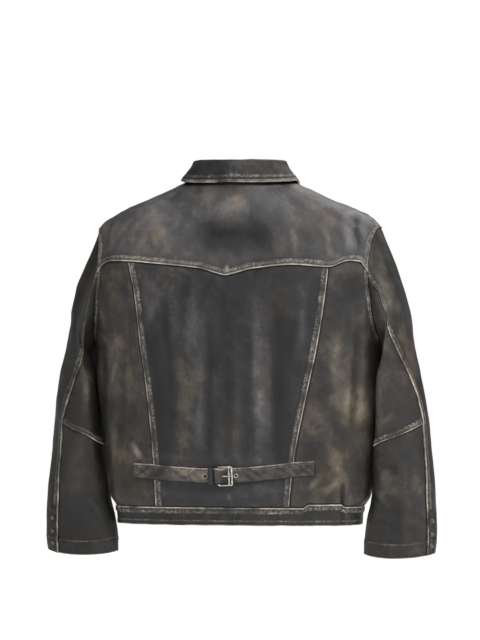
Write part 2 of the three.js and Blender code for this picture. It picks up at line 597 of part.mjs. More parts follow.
// The keeper is a flat loop over both straps; its ends turn in beside them.
const keeperBase = 0.5;
const keeperTop = 3.6 + STRAP_THICKNESS + 1.4;
const keeperOutside = wasm.Manifold.cube([2 * KEEPER.halfWidth, 2 * (BELT.halfHeight + 2.2), keeperTop - keeperBase
  + KEEPER.thickness], true);
const keeperInside = wasm.Manifold.cube([40, 2 * (BELT.halfHeight + 0.6), keeperTop - keeperBase], true)
  .translate([0, 0, -KEEPER.thickness / 2 - 0.01]);
const keeperHeight = (keeperTop + KEEPER.thickness + keeperBase) / 2 + 0.6;
addMesh('belt_keeper', geometryOf(keeperOutside.subtract(keeperInside)), 'leather',
  beltPlace(KEEPER.x, keeperHeight));

// Buckle: a rectangular frame of flat bar, and a prong whose eye turns on the pivot bar.
const frameOutside = wasm.CrossSection.square([2 * BUCKLE.halfWidth - 4, 2 * BUCKLE.halfHeight - 4], true)
  .offset(2, 'Round', 2, 16);
const frameInside = wasm.CrossSection.square([2 * (BUCKLE.halfWidth - BUCKLE.bar) - 2,
  2 * (BUCKLE.halfHeight - BUCKLE.bar) - 2], true).offset(1, 'Round', 2, 12);
const frame = wasm.Manifold.extrude(frameOutside.subtract(frameInside), BUCKLE.bar, 0, 0, [1, 1], true);
addMesh('buckle_frame', geometryOf(frame), 'metal', beltPlace(BUCKLE.x, BUCKLE.lift));

const PRONG = { halfWidth: 1.4, thickness: 1.8 };
const eye = wasm.Manifold.cylinder(2 * PRONG.halfWidth, 3.9, 3.9, 16, true)
  .subtract(wasm.Manifold.cylinder(10, 2.5, 2.5, 16, true)).rotate([90, 0, 0]);
const prongReach = OUTER_BAR_X - PIVOT_X + 2.5;
const tongue = wasm.Manifold.cube([prongReach, 2 * PRONG.halfWidth, PRONG.thickness], false)
  .translate([0, -PRONG.halfWidth, 2.1]).subtract(wasm.Manifold.cylinder(10, 2.5, 2.5, 16, true).rotate([90, 0, 0]));
const prongPlace = beltPlace(PIVOT_X, BUCKLE.lift);
addMesh('buckle_prong', geometryOf(eye.add(tongue)), 'metal', prongPlace);

// ---- Snaps --------------------------------------------------------------------------------------------------
const SNAP = { front: 7, cuff: 5, height: 2.2 };
function snapGeometry(radius) {
  const outline = [[0, 0], [radius, 0], [radius, SNAP.height * 0.45], [radius * 0.86, SNAP.height * 0.85],
    [radius * 0.6, SNAP.height], [0, SNAP.height]].map(([r, z]) => new THREE.Vector2(r, z));
  return new THREE.LatheGeometry(outline, 14).rotateX(Math.PI / 2).deleteAttribute('normal').deleteAttribute('uv');
}
const facing = ({ p, n }) => new THREE.Matrix4().makeRotationFromQuaternion(
  new THREE.Quaternion().setFromUnitVectors(new THREE.Vector3(0, 0, 1), n)).setPosition(p);

const FRONT_SNAPS = [-112, -208, -304, -400, -496, -602];
FRONT_SNAPS.forEach((z, i) => {
  const at = findOnBody(0, z, 1);
  addMesh(`front_snap_${i + 1}`, snapGeometry(SNAP.front), 'metal',
    facing(lift(bodySample(at.loop, at.angle), PLACKET.clearance + PLACKET.thickness + SEAM_GAP)));
});

// ---- Cuff vents ---------------------------------------------------------------------------------------------
// At each cuff the top sleeve laps over the vent in a stitched strip that three snaps hold shut.
const VENT = { from: 14.4, to: 16.95, turns: 17, gap: 1.2, clearance: 0.7, thickness: 1.8 };
const VENT_SNAPS = [14.95, 15.65, 16.35];
for (const [side, sign] of Object.entries(SIDES)) {
  const ventSample = (place, across, distance) =>
    lift(sleeveSample(place, backSeam(place, sign) - VENT.gap - VENT.turns * across, sign), distance);
  const outside = VENT.clearance + VENT.thickness;
  addWall(`cuff_placket_${side}`, stretch(VENT.from, VENT.to, 5).map((place) =>
    [0, 0.5, 1].map((across) => ventSample(place, across, outside))), VENT.thickness);
  VENT_SNAPS.forEach((place, i) => addMesh(`cuff_snap_${side}_${i + 1}`, snapGeometry(SNAP.cuff), 'metal',
    facing(ventSample(place, 0.5, outside + SEAM_GAP))));
}

export default root;
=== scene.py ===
# %% [markdown]
# # A worn leather jacket
# A waist-length leather jacket, held up by its neck and filled out as if it were worn, seen from behind. Leather
# is stiff cloth: it keeps the form of its cut, and years of wear leave soft folds, pale rubbed edges along every
# seam and a hide that is patched with brown where the black dye has gone. Each cut piece is made as one thin sheet
# on the jacket's form, so seams, laps and stitches fall where a maker would sew them.

# %% Load the fixed frame
import math

import bpy
import numpy as np
from mathutils import Matrix, Vector


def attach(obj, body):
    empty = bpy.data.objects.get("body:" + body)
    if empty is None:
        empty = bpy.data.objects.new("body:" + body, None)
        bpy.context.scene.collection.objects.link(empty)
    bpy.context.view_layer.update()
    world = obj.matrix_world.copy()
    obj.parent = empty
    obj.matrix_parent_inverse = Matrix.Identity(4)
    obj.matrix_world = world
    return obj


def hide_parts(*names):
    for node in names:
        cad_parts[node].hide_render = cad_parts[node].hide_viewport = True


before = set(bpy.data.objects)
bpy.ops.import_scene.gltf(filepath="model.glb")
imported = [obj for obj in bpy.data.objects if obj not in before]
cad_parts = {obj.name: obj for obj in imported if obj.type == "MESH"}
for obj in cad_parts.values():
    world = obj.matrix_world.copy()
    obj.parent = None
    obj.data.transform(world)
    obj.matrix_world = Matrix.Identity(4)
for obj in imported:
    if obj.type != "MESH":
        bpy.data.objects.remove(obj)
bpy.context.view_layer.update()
bpy.ops.object.select_all(action="DESELECT")
MM = 0.001

# %% [markdown]
# ## The stage
# The floor is a wide pale disc that glows a little, as a lit table does, and the surround is as white as it is, so
# that no horizon shows and the jacket can be walked round. The light is one broad soft panel above, on the camera's
# side, with weaker ones below it, at the sides and in front, and an even dim surround, because leather this dark is
# mostly seen by what it reflects. A long lens far away keeps both sleeves the same size.

# %% Colours, nodes and the floor
FLOOR_Z = -0.95
FLOOR_GLOW = 0.78


def srgb(code):
    """Linear colour with alpha of an sRGB hex code."""
    channels = [int(code[i:i + 2], 16) / 255 for i in (1, 3, 5)]
    return (*[c / 12.92 if c <= 0.04045 else ((c + 0.055) / 1.055) ** 2.4 for c in channels], 1.0)


def node(tree, kind, inputs=None, **settings):
    """Adds a node with its settings and links: an input is a value, an output, or a node for its first output."""
    made = tree.nodes.new(kind)
    for name, value in settings.items():
        setattr(made, name, value)
    for name, value in (inputs or {}).items():
        if isinstance(value, bpy.types.Node):
            value = value.outputs[0]
        if isinstance(value, bpy.types.NodeSocket):
            tree.links.new(value, made.inputs[name])
        else:
            made.inputs[name].default_value = value
    return made


def new_material(name):
    """A material with an empty tree, and that tree."""
    material = bpy.data.materials.new(name)
    material.use_nodes = True
    material.node_tree.nodes.clear()
    return material, material.node_tree


paper, tree = new_material("matt_studio_paper")
node(tree, "ShaderNodeOutputMaterial", {"Surface": node(tree, "ShaderNodeBsdfPrincipled", {
    "Base Color": srgb("#fbfbfb"), "Roughness": 0.95,
    "Emission Color": srgb("#ffffff"), "Emission Strength": FLOOR_GLOW})})
bpy.ops.mesh.primitive_circle_add(vertices=96, radius=30.0, fill_type="NGON", location=(0, 0, FLOOR_Z))
floor = bpy.context.object
floor.name = "studio_floor"
floor.data.materials.append(paper)
bpy.ops.object.select_all(action="DESELECT")

# %% Lights
SKY_DIM, SKY_SEEN = 0.22, 1.0  # what the surround gives the jacket, and how white it looks behind it
PANELS = {  # place in m, width and height in m, and watts; each one faces the jacket
    "key_panel": ((0.9, -1.6, 3.1), (1.6, 1.3), 142),
    "eye_panel": ((0.9, -3.9, 0.3), (1.2, 1.2), 48),
    "left_panel": ((-3.0, -2.2, 0.6), (0.9, 1.8), 10),
    "right_panel": ((3.2, -1.6, 0.3), (1.0, 2.0), 40),
    "front_panel": ((0.8, 3.0, 2.6), (2.2, 1.6), 60),
}
for name, (place, size, watts) in PANELS.items():
    bpy.ops.object.light_add(type="AREA", location=place)
    lamp = bpy.context.object
    lamp.name = name
    lamp.data.shape = "RECTANGLE"
    lamp.data.size, lamp.data.size_y = size
    lamp.data.energy = watts
    lamp.rotation_euler = (lamp.location * -1).to_track_quat("-Z", "Y").to_euler()
world = bpy.context.scene.world or bpy.data.worlds.new("studio")
bpy.context.scene.world = world
world.use_nodes = True
sky = world.node_tree
sky.nodes.clear()
dim, white = (node(sky, "ShaderNodeBackground", {"Color": srgb("#ffffff"), "Strength": strength})
              for strength in (SKY_DIM, SKY_SEEN))
seen = node(sky, "ShaderNodeLightPath").outputs["Is Camera Ray"]
node(sky, "ShaderNodeOutputWorld", {"Surface": node(sky, "ShaderNodeMixShader", {0: seen, 1: dim, 2: white})})
bpy.context.scene.view_settings.view_transform = "Standard"
print(f"{len(PANELS)} panels of {sum(watts for _, _, watts in PANELS.values())} W in all")

# %% Camera
CAMERA_AZIMUTH = 13.0  # degrees from straight behind
CAMERA_DISTANCE = 8.0
CAMERA_HEIGHT = -0.252
FRAME_HEIGHT = 1.152  # what the camera takes in from top to bottom, at the jacket
turn = math.radians(CAMERA_AZIMUTH)
bpy.ops.object.camera_add(
    location=(CAMERA_DISTANCE * math.sin(turn), -CAMERA_DISTANCE * math.cos(turn), CAMERA_HEIGHT),
    rotation=(math.radians(90), 0, turn))
camera = bpy.context.object
camera.name = "long_lens"
camera.data.sensor_width = 36.0
camera.data.lens = camera.data.sensor_width * CAMERA_DISTANCE / FRAME_HEIGHT
bpy.context.scene.camera = camera
bpy.ops.object.select_all(action="DESELECT")
print(f"A {camera.data.lens:.0f} mm lens from {CAMERA_DISTANCE:.0f} m")

# %% [markdown]
# ## Worn hide
# The hide is aniline-dyed cowhide: the dye soaks in and leaves no film of paint, so it rubs off at folds and seam
# edges and the tan of the leather comes through. Its gloss is soft and uneven. Noises of several sizes make the
# patches. The sheets carry attributes that put the wear where sewing puts it: worn_edge and under are the distances
# in mm from an edge that laps over and from one that tucks under, and row that from a row of stitches; under also
# carries painted shade under the collar's fall, inside the belt's holes and along edges that stand off the leather
# beneath, and the pale rim along a strap's top edge is partly a painted highlight. tone and warm are strokes of wear
# and of brown, and some strokes of tone are painted shade and some painted sheen; proud is how far a point stands
# above its surroundings, and even says where the patches are weak. So each seam gets a narrow pale rim with dirt
# packed beside it, and pale puckers over its stitches; rim and puckers are weaker on a dark stroke. A painted image
# could do the same, but it would have to be painted again whenever a seam moved.

# %% Noises of the hide
MAP, MATH, MIX, NOISE = "ShaderNodeMapRange", "ShaderNodeMath", "ShaderNodeMix", "ShaderNodeTexNoise"
hide, tree = new_material("worn_aniline_cowhide")
place = node(tree, "ShaderNodeTexCoord").outputs["Object"]
HIDE_NOISES = {  # size of a patch in mm, detail, roughness, and a scale for x, y and z: under 1 draws it out
    "cloudy": (62, 4.0, 0.55, (1.0, 1.0, 0.8)),
    "mottled": (26, 5.0, 0.62, (1.0, 1.0, 0.8)),
    "streaky": (17, 3.0, 0.55, (1.0, 1.0, 0.35)),
    "small": (8, 4.0, 0.65, (1.0, 1.0, 1.0)),
    "fine": (2.2, 2.0, 0.7, (1.0, 1.0, 1.0)),
    "broken": (34, 2.0, 0.5, (1.0, 1.0, 1.0)),  # breaks up the pale rims
    "puckered": (4.2, 2.0, 0.5, (1.0, 1.0, 1.0)),  # a little more than a stitch
    "wrinkled": (7, 4.0, 0.65, (1.0, 1.0, 0.6)),
}
noise = {name: node(tree, NOISE, {
    "Vector": node(tree, "ShaderNodeMapping", {"Vector": place, "Scale": squeeze}),
    "Scale": 1 / (size_mm * MM), "Detail": detail, "Roughness": roughness}).outputs["Fac"]
    for name, (size_mm, detail, roughness, squeeze) in HIDE_NOISES.items()}
mark = {name: node(tree, "ShaderNodeAttribute", attribute_name=name).outputs["Fac"]
        for name in ("worn_edge", "under", "row", "tone", "warm", "proud", "even")}
print(f"{len(noise)} noises and {len(mark)} attributes")


# %% How far the dye has worn, and its colours
def weighted_sum(tree, *terms):
    """The sum of outputs, each with a factor."""
    result = 0.0
    for value, factor in terms:
        result = node(tree, MATH, {0: value, 1: factor, 2: result}, operation="MULTIPLY_ADD")
    return result


PATCHY_MIDDLE = 1.0  # what the noises below add up to on average
LEAST_WEAR, MOST_WEAR = -0.35, 0.47
patchy = weighted_sum(tree, (noise["cloudy"], 0.7), (noise["streaky"], 0.25), (noise["small"], 0.31),
                      (noise["mottled"], 0.5), (noise["fine"], 0.24))
patchy = node(tree, MATH, {0: patchy, 1: PATCHY_MIDDLE}, operation="SUBTRACT")
calm = node(tree, MAP, {"Value": mark["even"], "To Min": 1.0, "To Max": 0.4})
patchy = node(tree, MATH, {0: patchy, 1: calm}, operation="MULTIPLY")
ridge = node(tree, MAP, {"Value": mark["proud"], "From Min": 0.1, "From Max": 0.9})
hollow = node(tree, MAP, {"Value": mark["proud"], "From Min": 0.1, "From Max": -0.6})
wear = weighted_sum(tree, (mark["tone"], 0.5), (patchy, 1.0), (ridge, 0.16), (hollow, -0.25))
wear = node(tree, MAP, {"Value": wear, "From Min": LEAST_WEAR, "From Max": MOST_WEAR})
BLACK_DYE = ("#131315", "#232324", "#393839", "#605d5e")  # from whole to worn
BROWN_HIDE = ("#181612", "#2a251e", "#474036", "#6b6357")
shades = []
for codes in (BLACK_DYE, BROWN_HIDE):
    ramp = node(tree, "ShaderNodeValToRGB", {"Fac": wear})
    stops = ramp.color_ramp.elements
    while len(stops) < len(codes):
        stops.new(0.5)
    for stop, position, code in zip(stops, (0.0, 0.36, 0.66, 1.0), codes):
        stop.position, stop.color = position, srgb(code)
    shades.append(ramp)
brown = weighted_sum(tree, (mark["warm"], 0.7), (noise["cloudy"], 0.7), (noise["small"], 0.35))
brown = node(tree, MAP, {"Value": brown, "From Min": 0.46, "From Max": 1.1})
colour = node(tree, MIX, {0: brown, 6: shades[0], 7: shades[1]}, data_type="RGBA").outputs[2]
print(f"Dye from {BLACK_DYE[0]} to {BLACK_DYE[-1]}, bare hide from {BROWN_HIDE[0]} to {BROWN_HIDE[-1]}")


# %% Rims, puckers and dirt along the seams, and painted shade
def band(tree, distance, start, end, soft):
    """1 where the distance lies from start to end, fading over soft on both sides."""
    up = node(tree, MAP, {"Value": distance, "From Min": start - soft, "From Max": start})
    down = node(tree, MAP, {"Value": distance, "From Min": end, "From Max": end + soft, "To Min": 1.0, "To Max": 0.0})
    return node(tree, MATH, {0: up, 1: down}, operation="MULTIPLY")


BARE_RIM, DIRT_AND_PAINTED_SHADE, COVER = "#aaa194", "#070707", 0.95
rim_patches = node(tree, MAP, {"Value": noise["small"], "From Min": 0.3, "From Max": 0.55, "To Min": 0.45})
rim = node(tree, MATH, {0: band(tree, mark["worn_edge"], -1.0, 1.1, 1.0), 1: rim_patches}, operation="MULTIPLY")
ridges = node(tree, MAP, {"Value": noise["puckered"], "From Min": 0.43, "From Max": 0.64,
                          "To Min": 0.04, "To Max": 0.44})
pucker = node(tree, MATH, {0: band(tree, mark["row"], -1.0, 1.3, 2.0), 1: ridges}, operation="MULTIPLY")
broken = node(tree, MAP, {"Value": noise["broken"], "From Min": 0.36, "From Max": 0.62, "To Min": 0.12})
pale = node(tree, MAP, {"Value": mark["tone"], "From Min": -1.0, "From Max": -0.3, "To Min": 0.5})
broken = node(tree, MATH, {0: broken, 1: pale}, operation="MULTIPLY")
worn = node(tree, MATH, {0: rim, 1: pucker}, operation="MAXIMUM")
worn = node(tree, MATH, {0: worn, 1: broken}, operation="MULTIPLY")
worn = node(tree, MATH, {0: worn, 1: COVER}, operation="MULTIPLY")
colour = node(tree, MIX, {0: worn, 6: colour, 7: srgb(BARE_RIM)}, data_type="RGBA").outputs[2]
# Dark goes where under is small: dirt packed in tucked seams and beside the rims, painted shade under the collar's fall
# and inside the belt's holes, and along the edges of straps, keeper and cuff strips that stand off the leather beneath,
# where it is dirt and painted shade together.
beside_rim = node(tree, MATH, {0: band(tree, mark["worn_edge"], 3.3, 4.3, 1.0), 1: 0.6}, operation="MULTIPLY")
dirt_and_painted_shade = node(tree, MATH, {0: band(tree, mark["under"], -1.0, 1.8, 2.4), 1: beside_rim}, operation="MAXIMUM")
dirt_and_painted_shade = node(tree, MATH, {0: dirt_and_painted_shade, 1: COVER}, operation="MULTIPLY")
colour = node(tree, MIX, {0: dirt_and_painted_shade, 6: colour, 7: srgb(DIRT_AND_PAINTED_SHADE)}, data_type="RGBA").outputs[2]
print(f"Rims rubbed to {BARE_RIM}, grooves filled with {DIRT_AND_PAINTED_SHADE}")

# %% Grain and gloss of the hide
# An old finish is dry, so the shine is weak, and it varies with the same cloudy patches as the dye.
PORE_MM, GRAIN_MM = 1.5, 0.7  # pores are drawn a little coarser than real ones, so that they show
gloss = node(tree, MAP, {"Value": noise["cloudy"], "From Min": 0.3, "From Max": 0.7, "To Min": 0.46, "To Max": 0.62})
pores = node(tree, "ShaderNodeTexVoronoi", {"Vector": place, "Scale": 1 / (PORE_MM * MM)}).outputs["Distance"]
grain = weighted_sum(tree, (pores, 0.22), (noise["wrinkled"], 1.5), (noise["fine"], 0.25))
bump = node(tree, "ShaderNodeBump", {"Height": grain, "Distance": GRAIN_MM * MM, "Strength": 0.6})
node(tree, "ShaderNodeOutputMaterial", {"Surface": node(tree, "ShaderNodeBsdfPrincipled", {
    "Base Color": colour, "Roughness": gloss, "Normal": bump, "Specular IOR Level": 0.22})})
print(f"{hide.name}: {len(tree.nodes)} nodes")

# %% [markdown]
# ## The other finishes
# The inside of the hide, the metal and the thread are each one mottle of two colours, whose noise also turns
# the gloss and raises the surface a little. Separate trees would let each have more, but they are seen small, and
# what tells them apart is their colour, their gloss and the size of the mottle.


# %% Flesh side, metal and thread
def mottled_material(name, colour, second, size_mm, roughness, metallic=0.0, bump_mm=0.2):
    material, tree = new_material(name)
    place = node(tree, "ShaderNodeTexCoord").outputs["Object"]
    mottle = node(tree, NOISE, {"Vector": place, "Scale": 1 / (size_mm * MM), "Detail": 4.0, "Roughness": 0.6})
    share = node(tree, MAP, {"Value": mottle, "From Min": 0.35, "From Max": 0.65})
    shade = node(tree, MIX, {0: share, 6: srgb(colour), 7: srgb(second)}, data_type="RGBA").outputs[2]
    gloss = node(tree, MAP, {"Value": mottle, "From Min": 0.3, "From Max": 0.7,
                             "To Min": roughness - 0.08, "To Max": roughness + 0.08})
    bump = node(tree, "ShaderNodeBump", {"Height": mottle, "Distance": bump_mm * MM, "Strength": 0.6})
    node(tree, "ShaderNodeOutputMaterial", {"Surface": node(tree, "ShaderNodeBsdfPrincipled", {
        "Base Color": shade, "Metallic": metallic, "Normal": bump, "Roughness": gloss})})
    return material


# The split's raised fibres give a flat brown with no shine.
flesh_side = mottled_material("split_suede_flesh_side", "#2d2823", "#3a342d", 2.5, 0.9, bump_mm=0.4)
# Polished plate that years of handling have dulled in spots: bright edges, grey hollows.
nickel = mottled_material("aged_nickel_plate", "#cbc4b8", "#6a635a", 2.2, 0.26, metallic=1.0, bump_mm=0.03)
# The cuffs' plate is rubbed down to a brown film, so only its rims catch the light.
tarnished = mottled_material("tarnished_nickel_plate", "#6b6358", "#2b2723", 1.8, 0.42, metallic=1.0, bump_mm=0.03)
# Wax has taken up dirt and hides the twist, so a stitch is a dull brown bead.
thread = mottled_material("waxed_polyester_thread", "#47423b", "#302c27", 6.0, 0.7, bump_mm=0.1)
print("Finishes:", ", ".join(finish.name for finish in (hide, flesh_side, nickel, tarnished, thread)))

# %% [markdown]
# ## The form under the leather
# The body of the jacket is one smooth surface. A loop round it is named by its height at the sides; it is a rounded
# oblong whose width, depth and squareness change slowly with height. Writing the form as a few short profiles, in
# place of modelling it by hand, lets every panel be a stretch of the same surface, so that the seams meet.


# %% Smooth curves
def mix(first, second, share):
    return first + (second - first) * share


def ease(x):
    x = np.clip(x, 0, 1)
    return x * x * (3 - 2 * x)


def signed_power(x, power):
    return np.sign(x) * np.abs(x) ** power


def between(first, second, first_slope, second_slope, width, u):
    """A smooth curve from first to second as u goes from 0 to 1, over a width, with the given slopes at its ends."""
    return (first * (1 + 2 * u) * (1 - u) ** 2 + first_slope * width * u * (1 - u) ** 2
            + second * u * u * (3 - 2 * u) + second_slope * width * u * u * (u - 1))


def profile(*pairs):
    """A smooth curve through (at, value) pairs that never overshoots them."""
    at, value = np.array(pairs, float).T
    width = np.diff(at)
    slope = np.diff(value) / width
    turning = slope[:-1] * slope[1:] <= 0
    total = np.where(turning, 1.0, slope[:-1] + slope[1:])
    inner = np.where(turning, 0.0, 2 * slope[:-1] * slope[1:] / total)
    tangent = np.concatenate([slope[:1], inner, slope[-1:]])

    def curve(x):
        x = np.clip(x, at[0], at[-1])
        i = np.clip(np.searchsorted(at, x, side="right") - 1, 0, len(width) - 1)
        return between(value[i], value[i + 1], tangent[i], tangent[i + 1], width[i], (x - at[i]) / width[i])
    return curve


print(f"Half way through a curve from 0 to 1: {profile((0, 0), (1, 1))(0.5):.2f}")

# %% The body's measures
# Heights in mm from the neck seam; each profile gives mm at a height, or a height at x.
HEM, BAND_TOP, ARMPIT, SHOULDER_TIP, NECK = -618.0, -586.0, -300.0, -86.0, 2.0
YOKE_AT_ARMHOLE, FRONT_SEAM_AT_ARMHOLE = -167.0, -250.0

half_width = profile((HEM, 222), (BAND_TOP, 226), (-570, 236), (-545, 241), (-504, 244), (-432, 252), (-360, 261),
                     (ARMPIT, 265), (-260, 270), (-221, 274), (-165, 275), (-125, 270), (-100, 262),
                     (SHOULDER_TIP, 257), (-72, 243), (-50, 204), (-29, 153), (-14, 119), (NECK, 82))
back_depth = profile((HEM, 100), (-520, 105), (-400, 111), (ARMPIT, 116), (-170, 117), (-120, 112),
                     (SHOULDER_TIP, 106), (-50, 95), (-14, 81), (NECK, 72))
front_depth = profile((HEM, 96), (-400, 106), (ARMPIT, 112), (-200, 110), (-120, 98), (SHOULDER_TIP, 90),
                      (-40, 82), (NECK, 70))
back_drop = profile((-150, 0), (SHOULDER_TIP, -6), (-50, -11), (-14, -11), (NECK, -2))
front_drop = profile((-150, 0), (-120, -4), (SHOULDER_TIP, -16), (-60, -32), (-40, -46), (-20, -61), (NECK, -78))
squareness = profile((HEM, 2.5), (ARMPIT, 2.6), (-165, 2.6), (SHOULDER_TIP, 2.4), (NECK, 2.1))
armhole_x = profile((ARMPIT, 265), (-285, 261.5), (-260, 256.5), (-221, 251), (-165, 247), (-110, 251),
                    (-95, 254.5), (SHOULDER_TIP, 257))
shoulder_seam_y = profile((SHOULDER_TIP, 0), (-60, 10), (NECK, 22))
left_seam_x = profile((HEM, -132), (-530, -135), (-400, -146), (-300, -159), (-205, -170), (-150, -181))
right_seam_x = profile((HEM, 107), (-500, 121), (-400, 141), (-300, 163), (-205, 178), (-150, 184))
yoke_line = profile((-247, YOKE_AT_ARMHOLE), (-236, -152), (-218, -146), (-184, -147), (-120, -152), (-50, -160),
                    (0, -173), (50, -161), (120, -154), (184, -158), (218, -147), (236, -149), (247, YOKE_AT_ARMHOLE))
POINT_LIFT, POINT_REACH = 1.6, 14  # the yoke's edge rises beside its centre, which leaves a crisp point


def yoke_z(x):
    """The height of the yoke's edge at x."""
    return yoke_line(x) + POINT_LIFT * np.abs(x) / POINT_REACH * np.exp(1 - np.abs(x) / POINT_REACH)


print(f"The body is {2 * half_width(ARMPIT):.0f} mm wide at the armpits and {2 * half_width(HEM):.0f} mm at the hem")


# %% Points of the body
def body_point(loop, angle):
    """Angles run round the body from the wearer's right side: -90 is the centre back, 90 the centre front."""
    loop, angle = np.broadcast_arrays(np.asarray(loop, float), np.radians(np.asarray(angle, float)))
    c, s = np.cos(angle), np.sin(angle)
    power = 2 / squareness(loop)
    depth = np.where(s < 0, back_depth(loop), front_depth(loop))
    drop = np.where(s < 0, back_drop(loop), front_drop(loop))
    return np.stack([half_width(loop) * signed_power(c, power), depth * signed_power(s, power),
                     loop + drop * s * s], -1)


def angle_at(loop, x, face):
    """The angle at which a loop passes x, behind (-1) or before (1)."""
    share = np.clip(x / half_width(loop), -1, 1)
    return face * np.degrees(np.arccos(np.clip(signed_power(share, squareness(loop) / 2), -1, 1)))


def find_on_body(x, z, face):
    """The loop and angle of the point of the back (-1) or the front (1) at x and height z."""
    x, z = np.broadcast_arrays(np.asarray(x, float), np.asarray(z, float))
    low, high = z.copy(), np.minimum(NECK, z + 100)
    for _ in range(40):  # halving 100 mm forty times leaves no error
        middle = (low + high) / 2
        below = body_point(middle, angle_at(middle, x, face))[..., 2] < z
        low, high = np.where(below, middle, low), np.where(below, high, middle)
    return low, angle_at(low, x, face)


def body_normal(loop, angle):
    around = body_point(loop, angle + 1) - body_point(loop, angle - 1)
    up = body_point(np.minimum(loop + 1, NECK), angle) - body_point(loop - 1, angle)
    normal = np.cross(around, up)
    return normal / np.linalg.norm(normal, axis=-1, keepdims=True)


def edge_angle(loop, face):
    """The angle, from the side, of a panel's edge: the side seam, the armhole, then the shoulder seam."""
    at_armhole = np.abs(angle_at(loop, armhole_x(loop), face))
    share = np.clip(shoulder_seam_y(loop) / front_depth(loop), 0, 1)
    forward = np.degrees(np.arcsin(share ** (squareness(loop) / 2))) * (-1 if face < 0 else 1)
    return np.where(loop <= ARMPIT, 0.0, np.where(loop <= SHOULDER_TIP, at_armhole, forward))


def back_seams(loop):
    """The angles of the back's four seams on a loop, from the wearer's left side to the right one."""
    edge = edge_angle(loop, -1)
    return (-180 + edge, angle_at(loop, left_seam_x(loop), -1), angle_at(loop, right_seam_x(loop), -1), -edge)


print(f"The back's seams at the armpits lie at angles {[round(float(a)) for a in back_seams(ARMPIT)]}")

# %% [markdown]
# ## Wear in the leather's form
# Leather folds softly and in the same places every day. The folds are set as troughs and ridges between two
# points, each with a width and a height, and a slow swell lies under them. A sculpting brush could make them too,
# but a written fold can be moved and made again. Colour is laid on in the same way: strokes of pale rubbed grain and
# of deep dye, and warmer ones where the tan of the hide comes through; some of the strokes are painted shade, in
# hollows and on sides turned from the light, and some are painted sheen and highlight.


# %% Swell and strokes
def swell(points, size, seed):
    """Smooth irregular heights, mostly from -1 to 1, with bumps about size across."""
    rng = np.random.default_rng(seed)
    total = np.zeros(points.shape[:-1])
    for _ in range(10):
        direction = rng.normal(size=3)
        direction /= np.linalg.norm(direction)
        wave = rng.uniform(0.7, 1.5) * math.pi / size
        total += np.sin(points @ direction * wave + rng.uniform(0, 2 * math.pi))
    return total / 4


def stroke(x, z, start, end, width, amount):
    """A soft stroke from start to end that tapers at both ends."""
    (x0, z0), (x1, z1) = start, end
    length = math.hypot(x1 - x0, z1 - z0)
    along = ((x - x0) * (x1 - x0) + (z - z0) * (z1 - z0)) / length
    aside = ((x - x0) * (z1 - z0) - (z - z0) * (x1 - x0)) / length
    taper = ease((along + 0.15 * length) / (0.4 * length)) * ease((1.15 * length - along) / (0.4 * length))
    return amount * taper * np.exp(-(aside / width) ** 2)


def strokes(x, z, rows):
    return sum((stroke(x, z, *row) for row in rows), np.zeros(np.shape(x)))


print(f"A fold 10 mm wide is {stroke(10, -50, (0, 0), (0, -100), 10, 1.0):.2f} as high 10 mm beside its middle")

# %% Folds of the body
# Each row is a start, an end, a width and a height, in mm, as x and z on the back or the front.
BACK_FOLDS = [
    # long hangs of the centre panel
    ((-62, -190), (-54, -470), 12, 2.6), ((-30, -230), (-34, -500), 11, -2.6), ((60, -240), (58, -500), 12, 2.6),
    ((92, -200), (84, -500), 12, -2.6), ((-112, -210), (-96, -480), 13, -2.6), ((20, -300), (16, -500), 11, 2.0),
    # side panels
    ((-150, -200), (-120, -330), 11, 1.8), ((150, -190), (124, -330), 11, 1.8), ((206, -240), (186, -420), 13, 3.0),
    ((232, -270), (222, -440), 8, -4.0), ((172, -420), (206, -560), 12, 2.4), ((-209, -330), (-221, -366), 4, 1.8),
    ((-190, -260), (-204, -480), 14, -2.6), ((-222, -420), (-214, -580), 10, 2.4),
    ((-180, -470), (-161, -500), 6, 2.4), ((146, -552), (168, -524), 6, 1.8), ((172, -562), (206, -528), 7, 1.8),
    # yoke and shoulders
    ((-26, -86), (10, -86), 5, 0.9), ((-36, -98), (60, -97), 12, -1.6), ((-150, -60), (-96, -120), 15, 2.0),
    ((222, -60), (238, -128), 7, -3.0), ((204, -62), (222, -132), 8, 2.4), ((-222, -66), (-240, -130), 8, -2.4),
    ((100, -50), (130, -120), 15, 1.8), ((178, -96), (186, -140), 6, 1.5), ((118, -92), (126, -138), 6, 1.3),
    ((-70, -60), (-30, -70), 10, 1.5),
    # beside the armholes
    ((-246, -190), (-236, -262), 8, 2.6), ((247, -196), (238, -262), 8, 2.6), ((-236, -300), (-240, -420), 8, -2.0),
]
FRONT_FOLDS = [
    ((90, -180), (70, -460), 16, 2.4), ((130, -200), (120, -520), 14, -2.4), ((-100, -190), (-80, -480), 15, 2.4),
    ((-140, -220), (-124, -500), 13, -2.4), ((205, -250), (190, -430), 14, 2.6), ((-205, -240), (-186, -450), 14, 2.8),
    ((-225, -280), (-212, -440), 9, -2.8), ((225, -290), (216, -450), 9, -2.8), ((50, -300), (44, -520), 11, -1.8),
    ((-52, -280), (-46, -500), 11, -1.8), ((170, -470), (205, -580), 12, 2.2), ((-176, -480), (-208, -576), 12, 2.0),
    ((-60, -130), (-150, -190), 14, 1.8), ((62, -130), (150, -186), 14, 1.6),
]
# The band's kink, and the creases at the hem and the yoke's point.
PLEATS = [((203, -540), (201, -640), 2.6, -5.5), ((2, -560), (2, -630), 2.2, -1.0), ((3, -150), (1, -182), 2.4, 1.4)]
print(f"{len(BACK_FOLDS)} folds behind, {len(FRONT_FOLDS)} in front, {len(PLEATS)} sharp creases")


# %% Relief of the body
belt_z = profile((-176, -522), (-141, -523), (-108, -526.5), (-32, -529.5), (12, -528.5), (102, -520.5),
                 (123, -517.5), (158, -516))


def common_relief(points):
    return (1.5 * swell(points, 95, 11) + 0.75 * swell(points * (1, 1, 0.6), 34, 12)
            + 0.3 * swell(points * (1, 1, 0.8), 14, 13))


